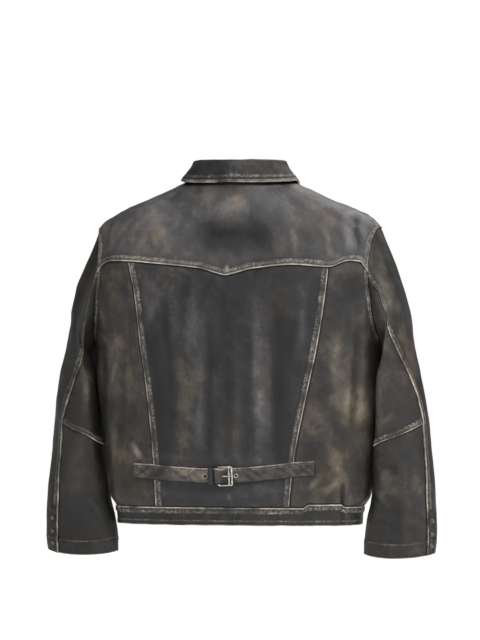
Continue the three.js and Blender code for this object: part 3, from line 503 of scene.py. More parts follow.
def body_relief(points):
    """How far the leather of the body stands off its smooth form, in mm."""
    x, y, z = points[..., 0], points[..., 1], points[..., 2]
    back, front = ease((-y - 10) / 30), ease((y - 10) / 30)
    height = common_relief(points) + back * strokes(x, z, BACK_FOLDS) + front * strokes(x, z, FRONT_FOLDS)
    # The cinch belt holds the leather flat, and it puffs a little above and below.
    belt = np.exp(-((x + 9) / 172) ** 8) * ease((-y - 10) / 30)
    from_belt = z - belt_z(x)
    puff = np.where(from_belt > 0, 0.6, 1.6) * np.exp(-((np.abs(from_belt) - 32) / 11) ** 2)
    height = height * (1 - belt * np.exp(-(from_belt / 19) ** 6)) + belt * puff
    return height + back * strokes(x, z, PLEATS)


centre_back = body_point(ARMPIT, np.arange(-150, -29, 5))
print(f"At the armpits the back's leather stands {np.ptp(body_relief(centre_back)):.1f} mm in and out")

# %% Strokes of colour on the back
# Each row is a start, an end, a width and an amount: above 0 is rubbed pale, below 0 is deep dye; a few rows, noted
# below, also carry painted shade and painted highlight.
BACK_TONES = [
    # streaks down the centre panel; the pale ones lie on the ridges of its folds and are partly rubbed, partly painted
    # highlight of those folds
    ((-66, -216), (-79, -504), 14, 0.3), ((-39, -248), (-46, -465), 7, 0.3), ((54, -200), (60, -500), 15, 0.5),
    ((78, -270), (82, -492), 9, 0.42), ((134, -160), (139, -309), 9, 0.4), ((-103, -181), (-158, -273), 9, 0.25),
    ((-121, -266), (-121, -504), 16, -0.95), ((-3, -190), (3, -438), 20, -0.3), ((103, -248), (99, -504), 16, -0.95),
    ((34, -421), (30, -483), 14, -0.2),
    # yoke, darkest in its middle, where the dark is painted shade of the shallow hollow under its crease; paler near
    # the collar and over the shoulders, partly rubbed and partly painted sheen where it faces up; and the rubbed points
    # of yoke and hem
    ((-46, -100), (86, -104), 27, -0.85), ((-34, -96), (24, -96), 7, -0.4), ((65, -48), (134, -28), 20, 0.05),
    ((-60, -52), (60, -52), 22, 0.3), ((3, -156), (3, -166), 3.5, 1.4), ((3, -560), (4, -574), 3.5, 0.8),
    ((-185, -66), (-66, -48), 25, 0.3), ((-139, -110), (-112, -96), 13, 0.25), ((161, -110), (174, -48), 16, -0.05),
    ((225, -66), (229, -128), 14, 0.1), ((8, -30), (14, -58), 15, 0.28), ((-2, 7), (16, 6), 4.5, 1.0),
    ((120, -90), (190, -80), 36, -0.16), ((-150, -80), (-70, -76), 34, 0.12),
    # left panel
    ((-203, -160), (-216, -216), 16, 0.3), ((-209, -279), (-183, -367), 22, 0.35),
    ((-223, -403), (-176, -438), 22, -0.3), ((-216, -486), (-158, -504), 18, 0.5),
    ((-179, -465), (-161, -493), 4, 0.25),
    # right panel
    ((189, -270), (203, -367), 20, 0.4), ((216, -367), (225, -438), 22, 0.6), ((159, -394), (156, -465), 14, 0.35),
    ((174, -367), (189, -385), 13, -0.35), ((252, -288), (258, -380), 11, -0.55), ((216, -172), (229, -216), 14, -0.4),
    ((198, -483), (185, -557), 18, 0.35), ((143, -465), (156, -500), 11, -0.3), ((118, -467), (117, -497), 3, 0.9),
]
BACK_WARMTH = [
    ((-72, -330), (-79, -504), 16, 0.6), ((-139, -110), (-112, -96), 14, 0.7), ((-205, -150), (-218, -220), 18, 0.6),
    ((-209, -279), (-183, -367), 24, 0.5), ((-222, -470), (-160, -560), 27, 1.0), ((170, -110), (184, -48), 14, 0.5),
    ((189, -270), (203, -367), 24, 0.35), ((216, -367), (225, -450), 26, 0.6), ((198, -470), (185, -570), 24, 0.7),
    ((159, -394), (156, -465), 15, 0.35), ((100, -200), (112, -260), 10, 0.6), ((10, -20), (30, -50), 12, 0.7),
    ((-240, -560), (-190, -600), 18, 0.8), ((-30, -430), (40, -450), 16, 0.3),
]
print(f"{len(BACK_TONES)} strokes of tone and {len(BACK_WARMTH)} of warmth on the back")


# %% Tone and warmth at a point
def colour_strokes(points, tones=BACK_TONES, warmth=BACK_WARMTH, base=-0.2, warm_base=0.0):
    """Tone and warmth, from the strokes behind and from a broad unevenness all round."""
    x, y, z = points[..., 0], points[..., 1], points[..., 2]
    back = ease((30 - y) / 40)
    broad = swell(points * (1, 1, 0.7), 120, 31)
    tone = base + back * strokes(x, z, tones) + mix(0.45, 0.12, back) * broad
    warm = warm_base + back * strokes(x, z, warmth) + mix(0.4, 0.1, back) * np.maximum(swell(points, 90, 32), 0)
    return np.clip(tone, -1, 1), np.clip(warm, 0, 1)


print(f"Tone across the back at the armpits: {colour_strokes(centre_back)[0][::6].round(1).tolist()}")

# %% [markdown]
# ## Sewn edges
# A lapping piece has its edge turned under, so it stands a little proud for a finger's width. It dips under each row
# of stitches and puckers between them. The piece beneath sinks a little as it goes under. A hem is turned wider.
# These forms are heights over the distance from the edge, so they follow any seam without being modelled twice.


# %% Kinds of edge
def bead(distance, at, width):
    return np.exp(-((distance - at) / width) ** 2)


def edge_height(kind, distance, wave):
    """How far an edge of a kind stands off the form at a distance from it."""
    edge = EDGES[kind]
    rise, until, fade = edge["step"]
    depth, width = edge["rim"]
    puckers, at, reach = edge["puckers"]
    height = rise * (1 - ease((distance - until) / fade)) - depth * np.clip(1 - distance / width, 0, 1) ** 2
    height = height - sum(dip * bead(distance, row, wide) for row, dip, wide in edge["stitches"])
    return height + puckers * wave * bead(distance, at, reach)


def edge_kind(lines, step=(0, 0, 1), rim=(0, 1), stitches=(), puckers=(0, 0, 1)):
    return {"lines": lines, "step": step, "rim": rim, "stitches": stitches, "puckers": puckers}


# lines: the grid's lines, in mm from the edge. step: the height of the turned-in edge, where it ends, and how softly.
# rim: how far the very edge rounds down, and over what width. stitches: each row's distance, and the depth and
# width of its dip. puckers: their height, and the middle and reach of where they lie.
EDGES = {
    "lap": edge_kind((0, 0.5, 1.1, 1.9, 2.8, 3.6, 4.4, 5.6, 7.2, 8.4, 9.4, 10.6, 12.2, 15.0), (1.55, 8.0, 3.6),
                     (0.75, 1.1), ((3.6, 0.65, 0.9), (8.4, 0.5, 1.0)), (0.6, 5.4, 4.5)),
    "tuck": edge_kind((0, 0.8, 2.0, 4.0, 7.0), (-0.9, 0, 5), puckers=(0.35, 0, 8)),
    "hem": edge_kind((0, 0.5, 1.2, 2.2, 4.0, 6.0, 7.6, 8.6, 9.6, 11.0, 13.0), (0.8, 9, 3), (1.0, 1.6),
                     ((8.6, 0.4, 1.0),), (0.4, 6, 6)),
    "cuff": edge_kind((0, 0.5, 1.2, 2.4, 5.0, 9.0, 13.0, 17.0, 21.0, 23.8, 25.0, 26.2, 28.5, 32.0), (0.7, 26, 3),
                      (1.0, 1.6), ((25.0, 0.45, 1.0),), (0.4, 22, 7)),
    "collar": edge_kind((0, 0.5, 1.2, 2.4, 4.4, 7.0, 9.6, 11.0, 12.4, 14.5, 17.0), (0.9, 10, 4), (1.1, 1.6),
                        ((11.0, 0.5, 1.1),), (0.35, 8, 6)),
    "strap": edge_kind((0, 0.4, 1.0, 1.8, 2.7, 3.6, 5.0), rim=(0.7, 1.0), stitches=((2.7, 0.3, 0.8),),
                       puckers=(0.2, 0, math.inf)),
    "open": edge_kind((0, 2.0, 5.0)),
}
EDGES["dull"] = EDGES["strap"]  # sewn as a strap's edge is, but darkened instead of rubbed pale: partly dirt, partly painted shade where the edge stands off the leather beneath
FAR = 99.0
print("Kinds of edge:", ", ".join(EDGES))

# %% [markdown]
# ## One sheet of leather
# A sheet is a grid of points on the form, closed into a thin wall. The rows and columns beside a seam lie at fixed
# distances from it, down to half a millimetre, and the rest are spread evenly, so the laps are crisp and the
# middle of a panel stays light. A plane shaped by hand would need all of this done again for every panel.


# %% Laying out the grid
def stations(near_low, near_high, count):
    """Grid lines as mm from the low edge, shares of the middle, and mm from the high edge."""
    middle = [("middle", k / count) for k in range(1, count)]
    return [("low", d) for d in near_low] + middle + [("high", d) for d in reversed(near_high)]


def lay_out(lines, total, near_low, near_high):
    """The mm from the low edge of each grid line, on a stretch of the given total length."""
    squeeze = min(1.0, 0.8 * total / (near_low[-1] + near_high[-1]))
    first, last = near_low[-1] * squeeze, total - near_high[-1] * squeeze
    return np.array([d * squeeze if kind == "low" else total - d * squeeze if kind == "high" else mix(first, last, d)
                     for kind, d in lines])


print(f"100 mm between two tucked edges: {lay_out(stations((0, 2), (0, 2), 4), 100, (0, 2), (0, 2)).tolist()}")


# %% A grid on a surface
def run_length(net, axis):
    """How far each point of a net lies along its row (1) or its column (0)."""
    steps = np.linalg.norm(np.diff(net, axis=axis), axis=-1)
    total = np.zeros(net.shape[:2])
    if axis:
        total[:, 1:] = np.cumsum(steps, axis=1)
    else:
        total[1:] = np.cumsum(steps, axis=0)
    return total


NET = 80  # cells each way of the net on which lengths are measured


def curve_grid(surface, edges, step):
    """Points on surface(s, t), with each one's distance in mm from the four edges, and its s and t."""
    spacing = {side: EDGES[kind.split()[0]]["lines"] for side, kind in edges.items()}
    coarse = np.linspace(0, 1, NET + 1)
    net = surface(coarse[None, :] + 0 * coarse[:, None], coarse[:, None] + 0 * coarse[None, :])
    across, upward = run_length(net, 1), run_length(net, 0)
    low, high, bottom, top = (spacing[side] for side in ("low", "high", "bottom", "top"))
    columns = stations(low, high, max(2, round((across[:, -1].max() - low[-1] - high[-1]) / step)))
    rows = stations(bottom, top, max(2, round((upward[-1].max() - bottom[-1] - top[-1]) / step)))
    half = NET // 2
    middle_t = np.interp(lay_out(rows, upward[-1, half], bottom, top), upward[:, half], coarse)
    middle_s = np.interp(lay_out(columns, across[half, -1], low, high), across[half], coarse)
    s, t, from_low, to_high, from_bottom, to_top = (np.zeros((len(rows), len(columns))) for _ in range(6))
    for i, at in enumerate(middle_t):
        k = min(int(at * NET), NET - 1)
        table = mix(across[k], across[k + 1], at * NET - k)
        place = lay_out(columns, table[-1], low, high)
        s[i] = np.interp(place, table, coarse)
        from_low[i], to_high[i] = place, table[-1] - place
    for j, at in enumerate(middle_s):
        k = min(int(at * NET), NET - 1)
        table = mix(upward[:, k], upward[:, k + 1], at * NET - k)
        place = lay_out(rows, table[-1], bottom, top)
        t[:, j] = np.interp(place, table, coarse)
        from_bottom[:, j], to_top[:, j] = place, table[-1] - place
    distance = {"low": from_low, "high": to_high, "bottom": from_bottom, "top": to_top}
    return surface(s, t), distance, s, t


print(f"Lengths are measured on a net of {NET} by {NET} cells")


# %% Which way a grid faces, and what stands proud
def grid_normals(points):
    normal = np.cross(np.gradient(points, axis=1), np.gradient(points, axis=0))
    return normal / np.maximum(np.linalg.norm(normal, axis=-1, keepdims=True), 1e-9)


def proudness(points, normal):
    """How far each point stands above the mean of its neighbours."""
    lifted = np.zeros(points.shape[:2])
    for reach in (2, 4):
        padded = np.pad(points, ((reach, reach), (reach, reach), (0, 0)), mode="edge")
        mean = (padded[2 * reach:, reach:-reach] + padded[:-2 * reach, reach:-reach]
                + padded[reach:-reach, 2 * reach:] + padded[reach:-reach, :-2 * reach]) / 4
        lifted += ((points - mean) * normal).sum(-1) / reach
    return lifted


across, along = np.meshgrid(np.arange(3.0), np.arange(3.0))
print(f"A flat grid faces {grid_normals(np.stack([across, along, 0 * across], -1))[1, 1].tolist()}")


# %% Closing a grid into a wall
SMOOTH_UNDER = 50  # degrees between faces that are shaded as one surface


def closed_sheet(name, outer, inner, attributes, flip):
    """A mesh of an outer and an inner grid joined round their edges; the inside gets the flesh side."""
    rows, columns = outer.shape[:2]
    index = np.arange(rows * columns).reshape(rows, columns)
    cells = np.stack([index[:-1, :-1], index[:-1, 1:], index[1:, 1:], index[1:, :-1]], -1).reshape(-1, 4)
    loop = np.concatenate([index[0, :-1], index[:-1, -1], index[-1, :0:-1], index[:0:-1, 0]])
    following = np.roll(loop, -1)
    if flip:
        cells, loop, following = cells[:, ::-1], following, loop
    under = rows * columns
    back = cells[:, ::-1] + under
    rim = np.stack([loop, loop + under, following + under, following], -1)
    faces = np.concatenate([cells, back, rim])
    mesh = bpy.data.meshes.new(name)
    mesh.vertices.add(2 * under)
    mesh.vertices.foreach_set("co", (np.concatenate([outer.reshape(-1, 3), inner.reshape(-1, 3)]) * MM).ravel())
    mesh.loops.add(faces.size)
    mesh.loops.foreach_set("vertex_index", faces.ravel())
    mesh.polygons.add(len(faces))
    mesh.polygons.foreach_set("loop_start", np.arange(0, faces.size, 4))
    mesh.polygons.foreach_set("material_index", np.repeat([0, 1, 0], [len(cells), len(back), len(rim)]))
    mesh.update(calc_edges=True)
    for key, values in attributes.items():
        mesh.attributes.new(key, "FLOAT", "POINT").data.foreach_set("value", np.tile(values.ravel(), 2))
    piece = bpy.data.objects.new(name, mesh)
    bpy.context.scene.collection.objects.link(piece)
    mesh.materials.append(hide)
    mesh.materials.append(flesh_side)
    bpy.ops.object.select_all(action="DESELECT")
    bpy.context.view_layer.objects.active = piece
    piece.select_set(True)
    bpy.ops.object.shade_smooth_by_angle(angle=math.radians(SMOOTH_UNDER))
    piece.select_set(False)
    return piece


print(f"Outside and rim are {hide.name}, inside is {flesh_side.name}")


# %% Where an edge laps, and how it wears
LEATHER = 2.2  # thickness in mm of a piece with its allowances
PUCKER = 7.5  # length in mm of a pucker along a seam
LESS_DIRT_AND_SHADE = 0.8  # added to the distance from a dull edge, so that less of it is darkened by dirt and painted shade
HEM_PRESSED = 1.3  # added to the distance from a hem's stitches, which are pressed flat and rubbed less
SEAM_LINES = {}  # rows of stitches by sheet: lists of points and normals
PICK = {"low": (lambda k: (slice(None), k)), "high": (lambda k: (slice(None), -1 - k)),
        "bottom": (lambda k: (k, slice(None))), "top": (lambda k: (-1 - k, slice(None)))}


def lapped_share(kind, points):
    """How far an edge laps at each point: an edge called 'lap armhole' tucks under below the armpit."""
    if "armhole" not in kind:
        return np.ones(points.shape[:-1])
    z = points[..., 2]
    top = SHOULDER_TIP - 4 if "front" in kind else 100
    return ease((z - ARMPIT - 4) / 16) * ease((top - z) / 12)


def rubbed_distance(kind, distance):
    """The distance that wear goes by: a strap's rim is narrow, and a collar's is a pale band and then a dark groove."""
    if kind == "collar":
        return np.interp(distance, (0, 0.6, 1.2, 6.2, 7.2, 9.5, 12), (0.5, 1.0, 1.75, 1.75, 3.8, 5.2, FAR))
    return distance + (kind == "strap") * 0.5


print(f"A collar's rim is pale to {rubbed_distance('collar', 6.2):.2f} and grooved at {rubbed_distance('collar', 9.5)}")


# %% The sheet maker
def sheet(name, surface, edges, replaces, relief, inside, step=4.5, thickness=LEATHER, paint=None,
          near=None, even=0.0):
    points, distance, s, t = curve_grid(surface, edges, step)
    normal = grid_normals(points)
    middle = points.shape[0] // 2, points.shape[1] // 2
    flip = float(normal[middle] @ (points[middle] - np.array(inside, float))) < 0
    if flip:
        normal = -normal
    height = relief(points, s, t)
    wave = swell(points, PUCKER, 21)
    worn_edge, under, row = (np.full(height.shape, FAR) for _ in range(3))
    lines = []
    for side, kind in edges.items():
        lap = lapped_share(kind, points)
        form = kind.split()[0]
        added = edge_height(form, distance[side], wave)
        if "armhole" in kind:
            added = mix(edge_height("tuck", distance[side], wave), added, lap)
            under = np.minimum(under, np.where(lap < 0.5, distance[side], FAR))
        height = height + added
        if kind == "tuck":
            under = np.minimum(under, distance[side])
        elif kind == "dull":
            under = np.minimum(under, distance[side] + LESS_DIRT_AND_SHADE)
        elif kind != "open":
            worn_edge = np.minimum(worn_edge, np.where(lap > 0.5, rubbed_distance(kind, distance[side]), FAR))
        pressed = HEM_PRESSED if kind in ("hem", "cuff") else 0.0
        for at, _, _ in EDGES[form]["stitches"]:
            rubbed = np.abs(distance[side] - at) + pressed
            row = np.minimum(row, np.where((lap > 0.5) & (kind != "dull"), rubbed, FAR))
            lines.append((PICK[side](EDGES[form]["lines"].index(at)), lap))
    if near:
        under = np.minimum(under, near(points))
    outer = points + normal * height[..., None]
    facing = grid_normals(outer) * (-1 if flip else 1)
    tone, warm = (paint or colour_strokes)(points)
    attributes = {"worn_edge": worn_edge, "under": under, "row": row, "tone": tone, "warm": warm,
                  "proud": proudness(outer, facing), "even": np.full(height.shape, even)}
    inner = outer - normal * thickness
    piece = closed_sheet(name, outer, inner, attributes, flip)
    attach(piece, "root")
    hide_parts(*replaces)
    SEAM_LINES[name] = [(outer[pick][lap[pick] > 0.5], facing[pick][lap[pick] > 0.5]) for pick, lap in lines]
    return piece


# %% [markdown]
# ## The loop of the collar
# The stand rises from the neck seam and the fall turns over it. Both follow one loop round the neck that dips to
# the front. It is needed before the yoke is made, because the yoke is painted darker under the fall's edge, as its
# shade. A curve object could be drawn round the neck and extruded, but the fall's edge has to lie on the shoulders,
# and only the form's own formula knows where those are.

# %% The fold and the fall's edge
def on_body(x, z, face, distance):
    loop, angle = find_on_body(x, z, face)
    return body_point(loop, angle) + body_normal(loop, angle) * (distance + np.zeros(loop.shape))[..., None]


FOLD = {"half_width": 80, "back_depth": 70, "front_depth": 71, "back": 35, "side": 35, "front": -46, "power": 2.15}
FOLD_RADIUS = 4.5
COLLAR_END, FALL_END = 87, 82  # the angles in front at which the stand and the fall end
FALL_LIFT = 7.3  # of the fall's edge off the body
fall_edge_loop = profile((-90, -2.5), (-70, -3.8), (-50, -5.6), (-20, -7.6), (0, -7))
fall_front_x = profile((0, 104), (0.35, 99), (0.7, 85), (1, 68))
fall_front_z = profile((0, -7), (0.35, -42), (0.7, -86), (1, -122))


def fold_point(angle, widen, rise):
    radians = np.radians(angle)
    c, s = np.cos(radians), np.sin(radians)
    power = 2 / FOLD["power"]
    depth = np.where(s < 0, FOLD["back_depth"], FOLD["front_depth"])
    height = mix(FOLD["side"], np.where(s < 0, FOLD["back"], FOLD["front"]), s * s * np.abs(s))
    return np.stack([(FOLD["half_width"] + widen) * signed_power(c, power),
                     (depth + widen) * signed_power(s, power), height + rise], -1)


def fall_edge(angle):
    folded = np.where(angle < -90, -180 - angle, angle)
    mirror = np.where(angle < -90, -1.0, 1.0)
    behind_angle = np.minimum(folded, 0)
    behind_loop = fall_edge_loop(behind_angle)
    behind = body_point(behind_loop, behind_angle) + body_normal(behind_loop, behind_angle) * FALL_LIFT
    share = np.maximum(folded, 0) / FALL_END
    before = on_body(fall_front_x(share), fall_front_z(share), 1, FALL_LIFT)
    edge = np.where((folded <= 0)[..., None], behind, before)
    return edge * np.stack([mirror, 1 + 0 * mirror, 1 + 0 * mirror], -1)


print(f"The fall's point in front lies at {fall_edge(np.array(FALL_END)).round().tolist()} mm")

# %% Shade under the fall
FALL_EDGE_BEHIND = fall_edge(np.linspace(-180, 0, 91))
SHADE = 4.6  # height of the black line under the fall
SHADED = {"half_width": 106, "to_y": 10}  # where the back can be under the fall
print(f"The fall's edge behind spans {np.ptp(FALL_EDGE_BEHIND[:, 0]):.0f} mm")


def painted_collar_shadow(points):
    """How far a point of the back lies below the fall's edge, which hangs over it: the yoke gets the fall's painted
    shade, black just under the edge and fading below.
    """
    edge_z = np.interp(points[..., 0], FALL_EDGE_BEHIND[:, 0], FALL_EDGE_BEHIND[:, 2])
    covered = (np.abs(points[..., 0]) < SHADED["half_width"]) & (points[..., 1] < SHADED["to_y"])
    below = np.maximum(edge_z - points[..., 2], 0)
    return np.where(covered, np.where(below < SHADE, 0, 1.8 + (below - SHADE) * 1.5), FAR)


# %% [markdown]
# ## Back and yoke
# The centre panel laps over the two side panels and the yoke laps over all three. Yoke and side panels lap over the
# sleeve. The yoke runs over the shoulders to a seam just in front of them. The waistband's seam jogs up a little on
# the right, where it was sewn unevenly. Each panel is the stretch of the form between two seams, so no two panels
# can cross or gape, which panels cut and bent by hand would do.


# %% Surfaces of the back
INSIDE = (0, 0, -350)  # a point in the jacket, which tells a sheet which of its sides is the outer one
YOKE_START = -150.0  # where the search for the yoke's seam begins


def on_body_relief(points, s, t):
    return body_relief(points)


def seam_line_loop(angle_of, height_at, first):
    """The loop on which a column meets a seam at height_at(x); angle_of(loop) is the column's angle."""
    loop = first
    for _ in range(14):  # each turn leaves a small part of the error
        point = body_point(loop, angle_of(loop))
        loop = loop + height_at(point[..., 0]) - point[..., 2]
    return loop


def band_top_z(x):
    """The waistband's seam, with its jog, as a height at x on the back."""
    jog = ease((x - 136) / 8) * (1 - 0.75 * ease((x - 199) / 5))
    return BAND_TOP + 6.0 * jog


def back_angle(low_seam, high_seam, share):
    def angle_of(loop):
        seams = back_seams(loop)
        return mix(seams[low_seam], seams[high_seam], share)
    return angle_of


def back_surface(panel):
    def surface(s, t):
        angle_of = back_angle(panel, panel + 1, s)
        low = seam_line_loop(angle_of, band_top_z, BAND_TOP)
        loop = mix(low, seam_line_loop(angle_of, yoke_z, YOKE_START), t)
        return body_point(loop, angle_of(loop))
    return surface


def yoke_surface(s, t):
    angle_of = back_angle(0, 3, s)
    bottom = seam_line_loop(angle_of, yoke_z, YOKE_START)
    share = 0.42  # of the yoke's length that lies below the shoulder's tip
    loop = np.where(t < share, mix(bottom, SHOULDER_TIP, t / share),
                    mix(SHOULDER_TIP, NECK, (t - share) / (1 - share)))
    return body_point(loop, angle_of(loop))


print(f"The yoke's seam is {yoke_z(0.0):.0f} mm below the neck at its point")


# %% Back panels and yoke
def side_paint(points):
    return colour_strokes(points, base=-0.16, warm_base=0.3)


# The yoke's tone is raised all over as painted sheen, since it faces up to the light.
def yoke_paint_and_sheen(points):
    return colour_strokes(points, base=0.38)


sheet("back_centre_hide", back_surface(1), {"low": "lap", "high": "lap", "bottom": "tuck", "top": "tuck"},
      ["back_panel_centre"], on_body_relief, INSIDE, step=4.2)
sheet("back_left_hide", back_surface(0), {"low": "lap armhole", "high": "tuck", "bottom": "tuck", "top": "tuck"},
      ["back_panel_left"], on_body_relief, INSIDE, step=4.2, paint=side_paint)
sheet("back_right_hide", back_surface(2), {"low": "tuck", "high": "lap armhole", "bottom": "tuck", "top": "tuck"},
      ["back_panel_right"], on_body_relief, INSIDE, step=4.2, paint=side_paint)
sheet("yoke_hide", yoke_surface, {"low": "lap", "high": "lap", "bottom": "lap", "top": "tuck"},
      ["back_yoke"], on_body_relief, (0, 0, -120), step=2.9, paint=yoke_paint_and_sheen, near=painted_collar_shadow, even=0.7)

# %% [markdown]
# ## Fronts, placket and waistband
# Each front is one panel from the waistband to the neck, and a placket with six snaps closes them. It covers their
# two free edges. The waistband is a straight double strip, folded at the hem and stitched near it. The fronts are
# mirror images on the form. The placket is laid on them by x and height instead, because its edges are straight
# and upright, while the form's own lines lean.


# %% Fronts and placket
def front_surface(side):
    def surface(s, t):
        loop = np.interp(t, [0, 0.42, 0.78, 1.0], [BAND_TOP, ARMPIT, SHOULDER_TIP, NECK])
        angle = mix(edge_angle(loop, 1), 90, s)
        return body_point(loop, angle if side > 0 else 180 - angle)
    return surface


def light_relief(points, s, t):
    return 0.25 * swell(points, 30, 14)


FRONT_EDGES = {"low": "lap armhole front", "high": "open", "bottom": "tuck", "top": "tuck"}
sheet("front_right_hide", front_surface(1), FRONT_EDGES, ["front_right"], on_body_relief, INSIDE, step=5.0)
sheet("front_left_hide", front_surface(-1), FRONT_EDGES, ["front_left"], on_body_relief, INSIDE, step=5.0)
PLACKET = {"half": 21, "bottom": HEM + 0.5, "top": -96, "outside": 3.4}


def placket_surface(s, t):
    return on_body(mix(PLACKET["half"], -PLACKET["half"], s), mix(PLACKET["bottom"], PLACKET["top"], t), 1,
                   PLACKET["outside"])


sheet("placket_hide", placket_surface, {"low": "lap", "high": "lap", "bottom": "hem", "top": "hem"},
      ["front_placket"], light_relief, INSIDE, step=5.0)


# %% Waistband
BAND_OUTSIDE, BAND_THICKNESS = 0.2, 3.0


def band_surface(low, high):
    def surface(s, t):
        angle = mix(low, high, s)
        top = seam_line_loop(lambda loop: angle, band_top_z, BAND_TOP) if high <= 0 else BAND_TOP
        loop = mix(HEM, top, t)
        return body_point(loop, angle) + body_normal(loop, angle) * BAND_OUTSIDE
    return surface


def band_relief(points, s, t):
    return 0.45 * body_relief(points) + 0.3 * swell(points, 17, 15)


def band_paint(points):
    return colour_strokes(points, base=-0.38, warm_base=0.2)


for name, low, high, replaced in (("waistband_back_hide", -180, 0, "waistband_back"),
                                  ("waistband_right_hide", 0, 90, "waistband_front_right"),
                                  ("waistband_left_hide", 90, 180, "waistband_front_left")):
    sheet(name, band_surface(low, high), {"low": "open", "high": "open", "bottom": "hem", "top": "lap"}, [replaced],
          band_relief, INSIDE, step=4.0, thickness=BAND_THICKNESS, paint=band_paint)

# %% [markdown]
# ## Collar
# The fall's section is a smooth curve through a few rows, from the fold down to its edge on the shoulders. It lies
# proud of the yoke, so its edge casts shade beneath it, and a dark line of shade is painted on the yoke there too.
# Cloth simulation could fold a flat collar over, but the fold of a leather collar is set by its cut, and the rows
# say exactly where it turns.


# %% Surfaces of the collar
def through(knots, rows, t):
    """A smooth curve through rows of points at the knots."""
    slopes = [(rows[min(i + 1, len(rows) - 1)] - rows[max(i - 1, 0)])
              / (knots[min(i + 1, len(rows) - 1)] - knots[max(i - 1, 0)]) for i in range(len(rows))]
    total = np.zeros(rows[0].shape)
    for i in range(len(rows) - 1):
        width = knots[i + 1] - knots[i]
        inside = (t >= knots[i]) & ((t < knots[i + 1]) | (i == len(rows) - 2))
        u = np.clip((t - knots[i]) / width, 0, 1)[..., None]
        value = between(rows[i], rows[i + 1], slopes[i], slopes[i + 1], width, u)
        total = np.where(inside[..., None], value, total)
    return total


def fall_surface(s, t):
    angle = mix(-180 - FALL_END, FALL_END, s)
    edge = fall_edge(angle)
    low = fold_point(angle, FOLD_RADIUS + 3.6, -11)
    middle = mix(low, edge, 0.5) + np.array([0, 0, 0.8])
    rows = [edge, middle, low, fold_point(angle, FOLD_RADIUS + 0.6, -4.6), fold_point(angle, FOLD_RADIUS * 0.7, -1),
            fold_point(angle, -1, 0)]
    return through([0, 0.36, 0.72, 0.84, 0.93, 1.0], rows, t)


def stand_surface(s, t):
    angle = mix(-180 - COLLAR_END, COLLAR_END, s)
    radians = np.radians(angle)
    top = -4.0 - np.where(np.sin(radians) > 0, 4 * np.sin(2 * radians) ** 2, 0)
    return mix(body_point(NECK, angle), fold_point(angle, 0, top), t[..., None])


print(f"The fold is {fold_point(-90.0, 0, 0)[2]:.0f} mm above the neck seam behind")


# %% Collar stand and fall
def stand_relief(points, s, t):
    return 0.2 * swell(points, 30, 18)


def collar_relief(points, s, t):
    """Soft swells, and the shallow groove of the seam in the middle of the fall, which ends below the fold."""
    groove = (1.0 - ease((t - 0.62) / 0.2)) * bead(points[..., 0], 6, 2.4)
    return 0.5 * swell(points, 42, 16) + 0.25 * swell(points, 15, 17) - groove


sheet("collar_stand_hide", stand_surface, {"low": "open", "high": "open", "bottom": "tuck", "top": "open"},
      ["collar_stand"], stand_relief, (0, 0, 0), step=3.5)
sheet("collar_fall_hide", fall_surface, {"low": "collar", "high": "collar", "bottom": "collar", "top": "open"},
      ["collar_fall"], collar_relief, (0, 0, 0), step=3.2, thickness=2.6)

# %% [markdown]
# ## Sleeves
# A sleeve is a run of rings from the armhole to the cuff, each a flattened oval, and it bends forward a little as an
# arm does. Its top piece laps over the two under pieces along the back seam, and the upper one of these laps over the
# lower at the elbow. Leather creases across the inside of the elbow and hangs in long soft folds above the cuff.
# Rings are the usual way to model a sleeve by hand too, by extruding a loop again and again. Written as profiles,
# they also say where a seam runs round the sleeve, so the three pieces meet all the way down.

# %% Measures of a sleeve
# Each profile goes by place, the number of the ring: 0 at the armhole and 17 at the cuff.
CUFF = 17.0
outer_x = profile((0, 257.5), (1, 269), (2, 280), (3, 291), (4, 301), (5, 310), (6, 317.5), (8, 332), (10, 344),
                  (12, 353), (14, 359), (15, 360), (16, 359), (17, 356))
outer_z = profile((0, SHOULDER_TIP), (1, -115), (2, -142), (3, -176), (4, -214), (6, -290), (8, -362), (10, -432),
                  (12, -503), (14, -576), (16, -643), (17, -668))
inner_x = profile((0, 265), (1, 267.5), (2, 268.8), (3, 269.5), (4, 269.5), (5, 269), (7, 266), (9, 259.5),
                  (11, 253), (13, 246.5), (14, 241), (15, 232), (16, 228), (17, 227))
inner_z = profile((0, ARMPIT), (1, -304), (3, -315), (5, -332), (7, -362), (9, -412), (11, -468), (13, -540),
                  (15, -612), (16, -645), (17, -670))
half_depth = profile((0, 66), (1, 72), (3, 79), (5, 81.5), (7, 78), (9, 71), (11, 60.5), (13, 46), (15, 32),
                     (17, 27))
dip = profile((15, 0), (17, 8))
wrap = profile((0, 0), (3, 0), (5, 8), (7, 16), (9, 20), (11, 18), (13, 12), (15, 5), (17, 0))
SLEEVE_SQUARENESS = 2.25
ARMHOLE_BLEND = 4.0  # the place at which nothing of the armhole's outline is left
print(f"The cuff is {outer_x(CUFF) - inner_x(CUFF):.0f} mm wide and {2 * half_depth(CUFF):.0f} mm deep")


# %% Points of a sleeve
def armhole_turn(loop):
    return math.degrees(math.acos(2 * (loop - ARMPIT) / (SHOULDER_TIP - ARMPIT) - 1))


def armhole_point(turn):
    radians = np.radians(turn)
    loop = mix(ARMPIT, SHOULDER_TIP, (1 + np.cos(radians)) / 2)
    behind, before = body_point(loop, -edge_angle(loop, -1)), body_point(loop, edge_angle(loop, 1))
    return np.where((np.sin(radians) >= 0)[..., None], behind, before)


def ring_point(place, turn):
    radians = np.radians(turn)
    power = 2 / SLEEVE_SQUARENESS
    c, s = signed_power(np.cos(radians), power), signed_power(np.sin(radians), power)
    return np.stack([mix(inner_x(place), outer_x(place), (1 + c) / 2) - wrap(place) * s * s, -half_depth(place) * s,
                     mix(inner_z(place), outer_z(place), (1 + c) / 2) - dip(place) * s * s], -1)


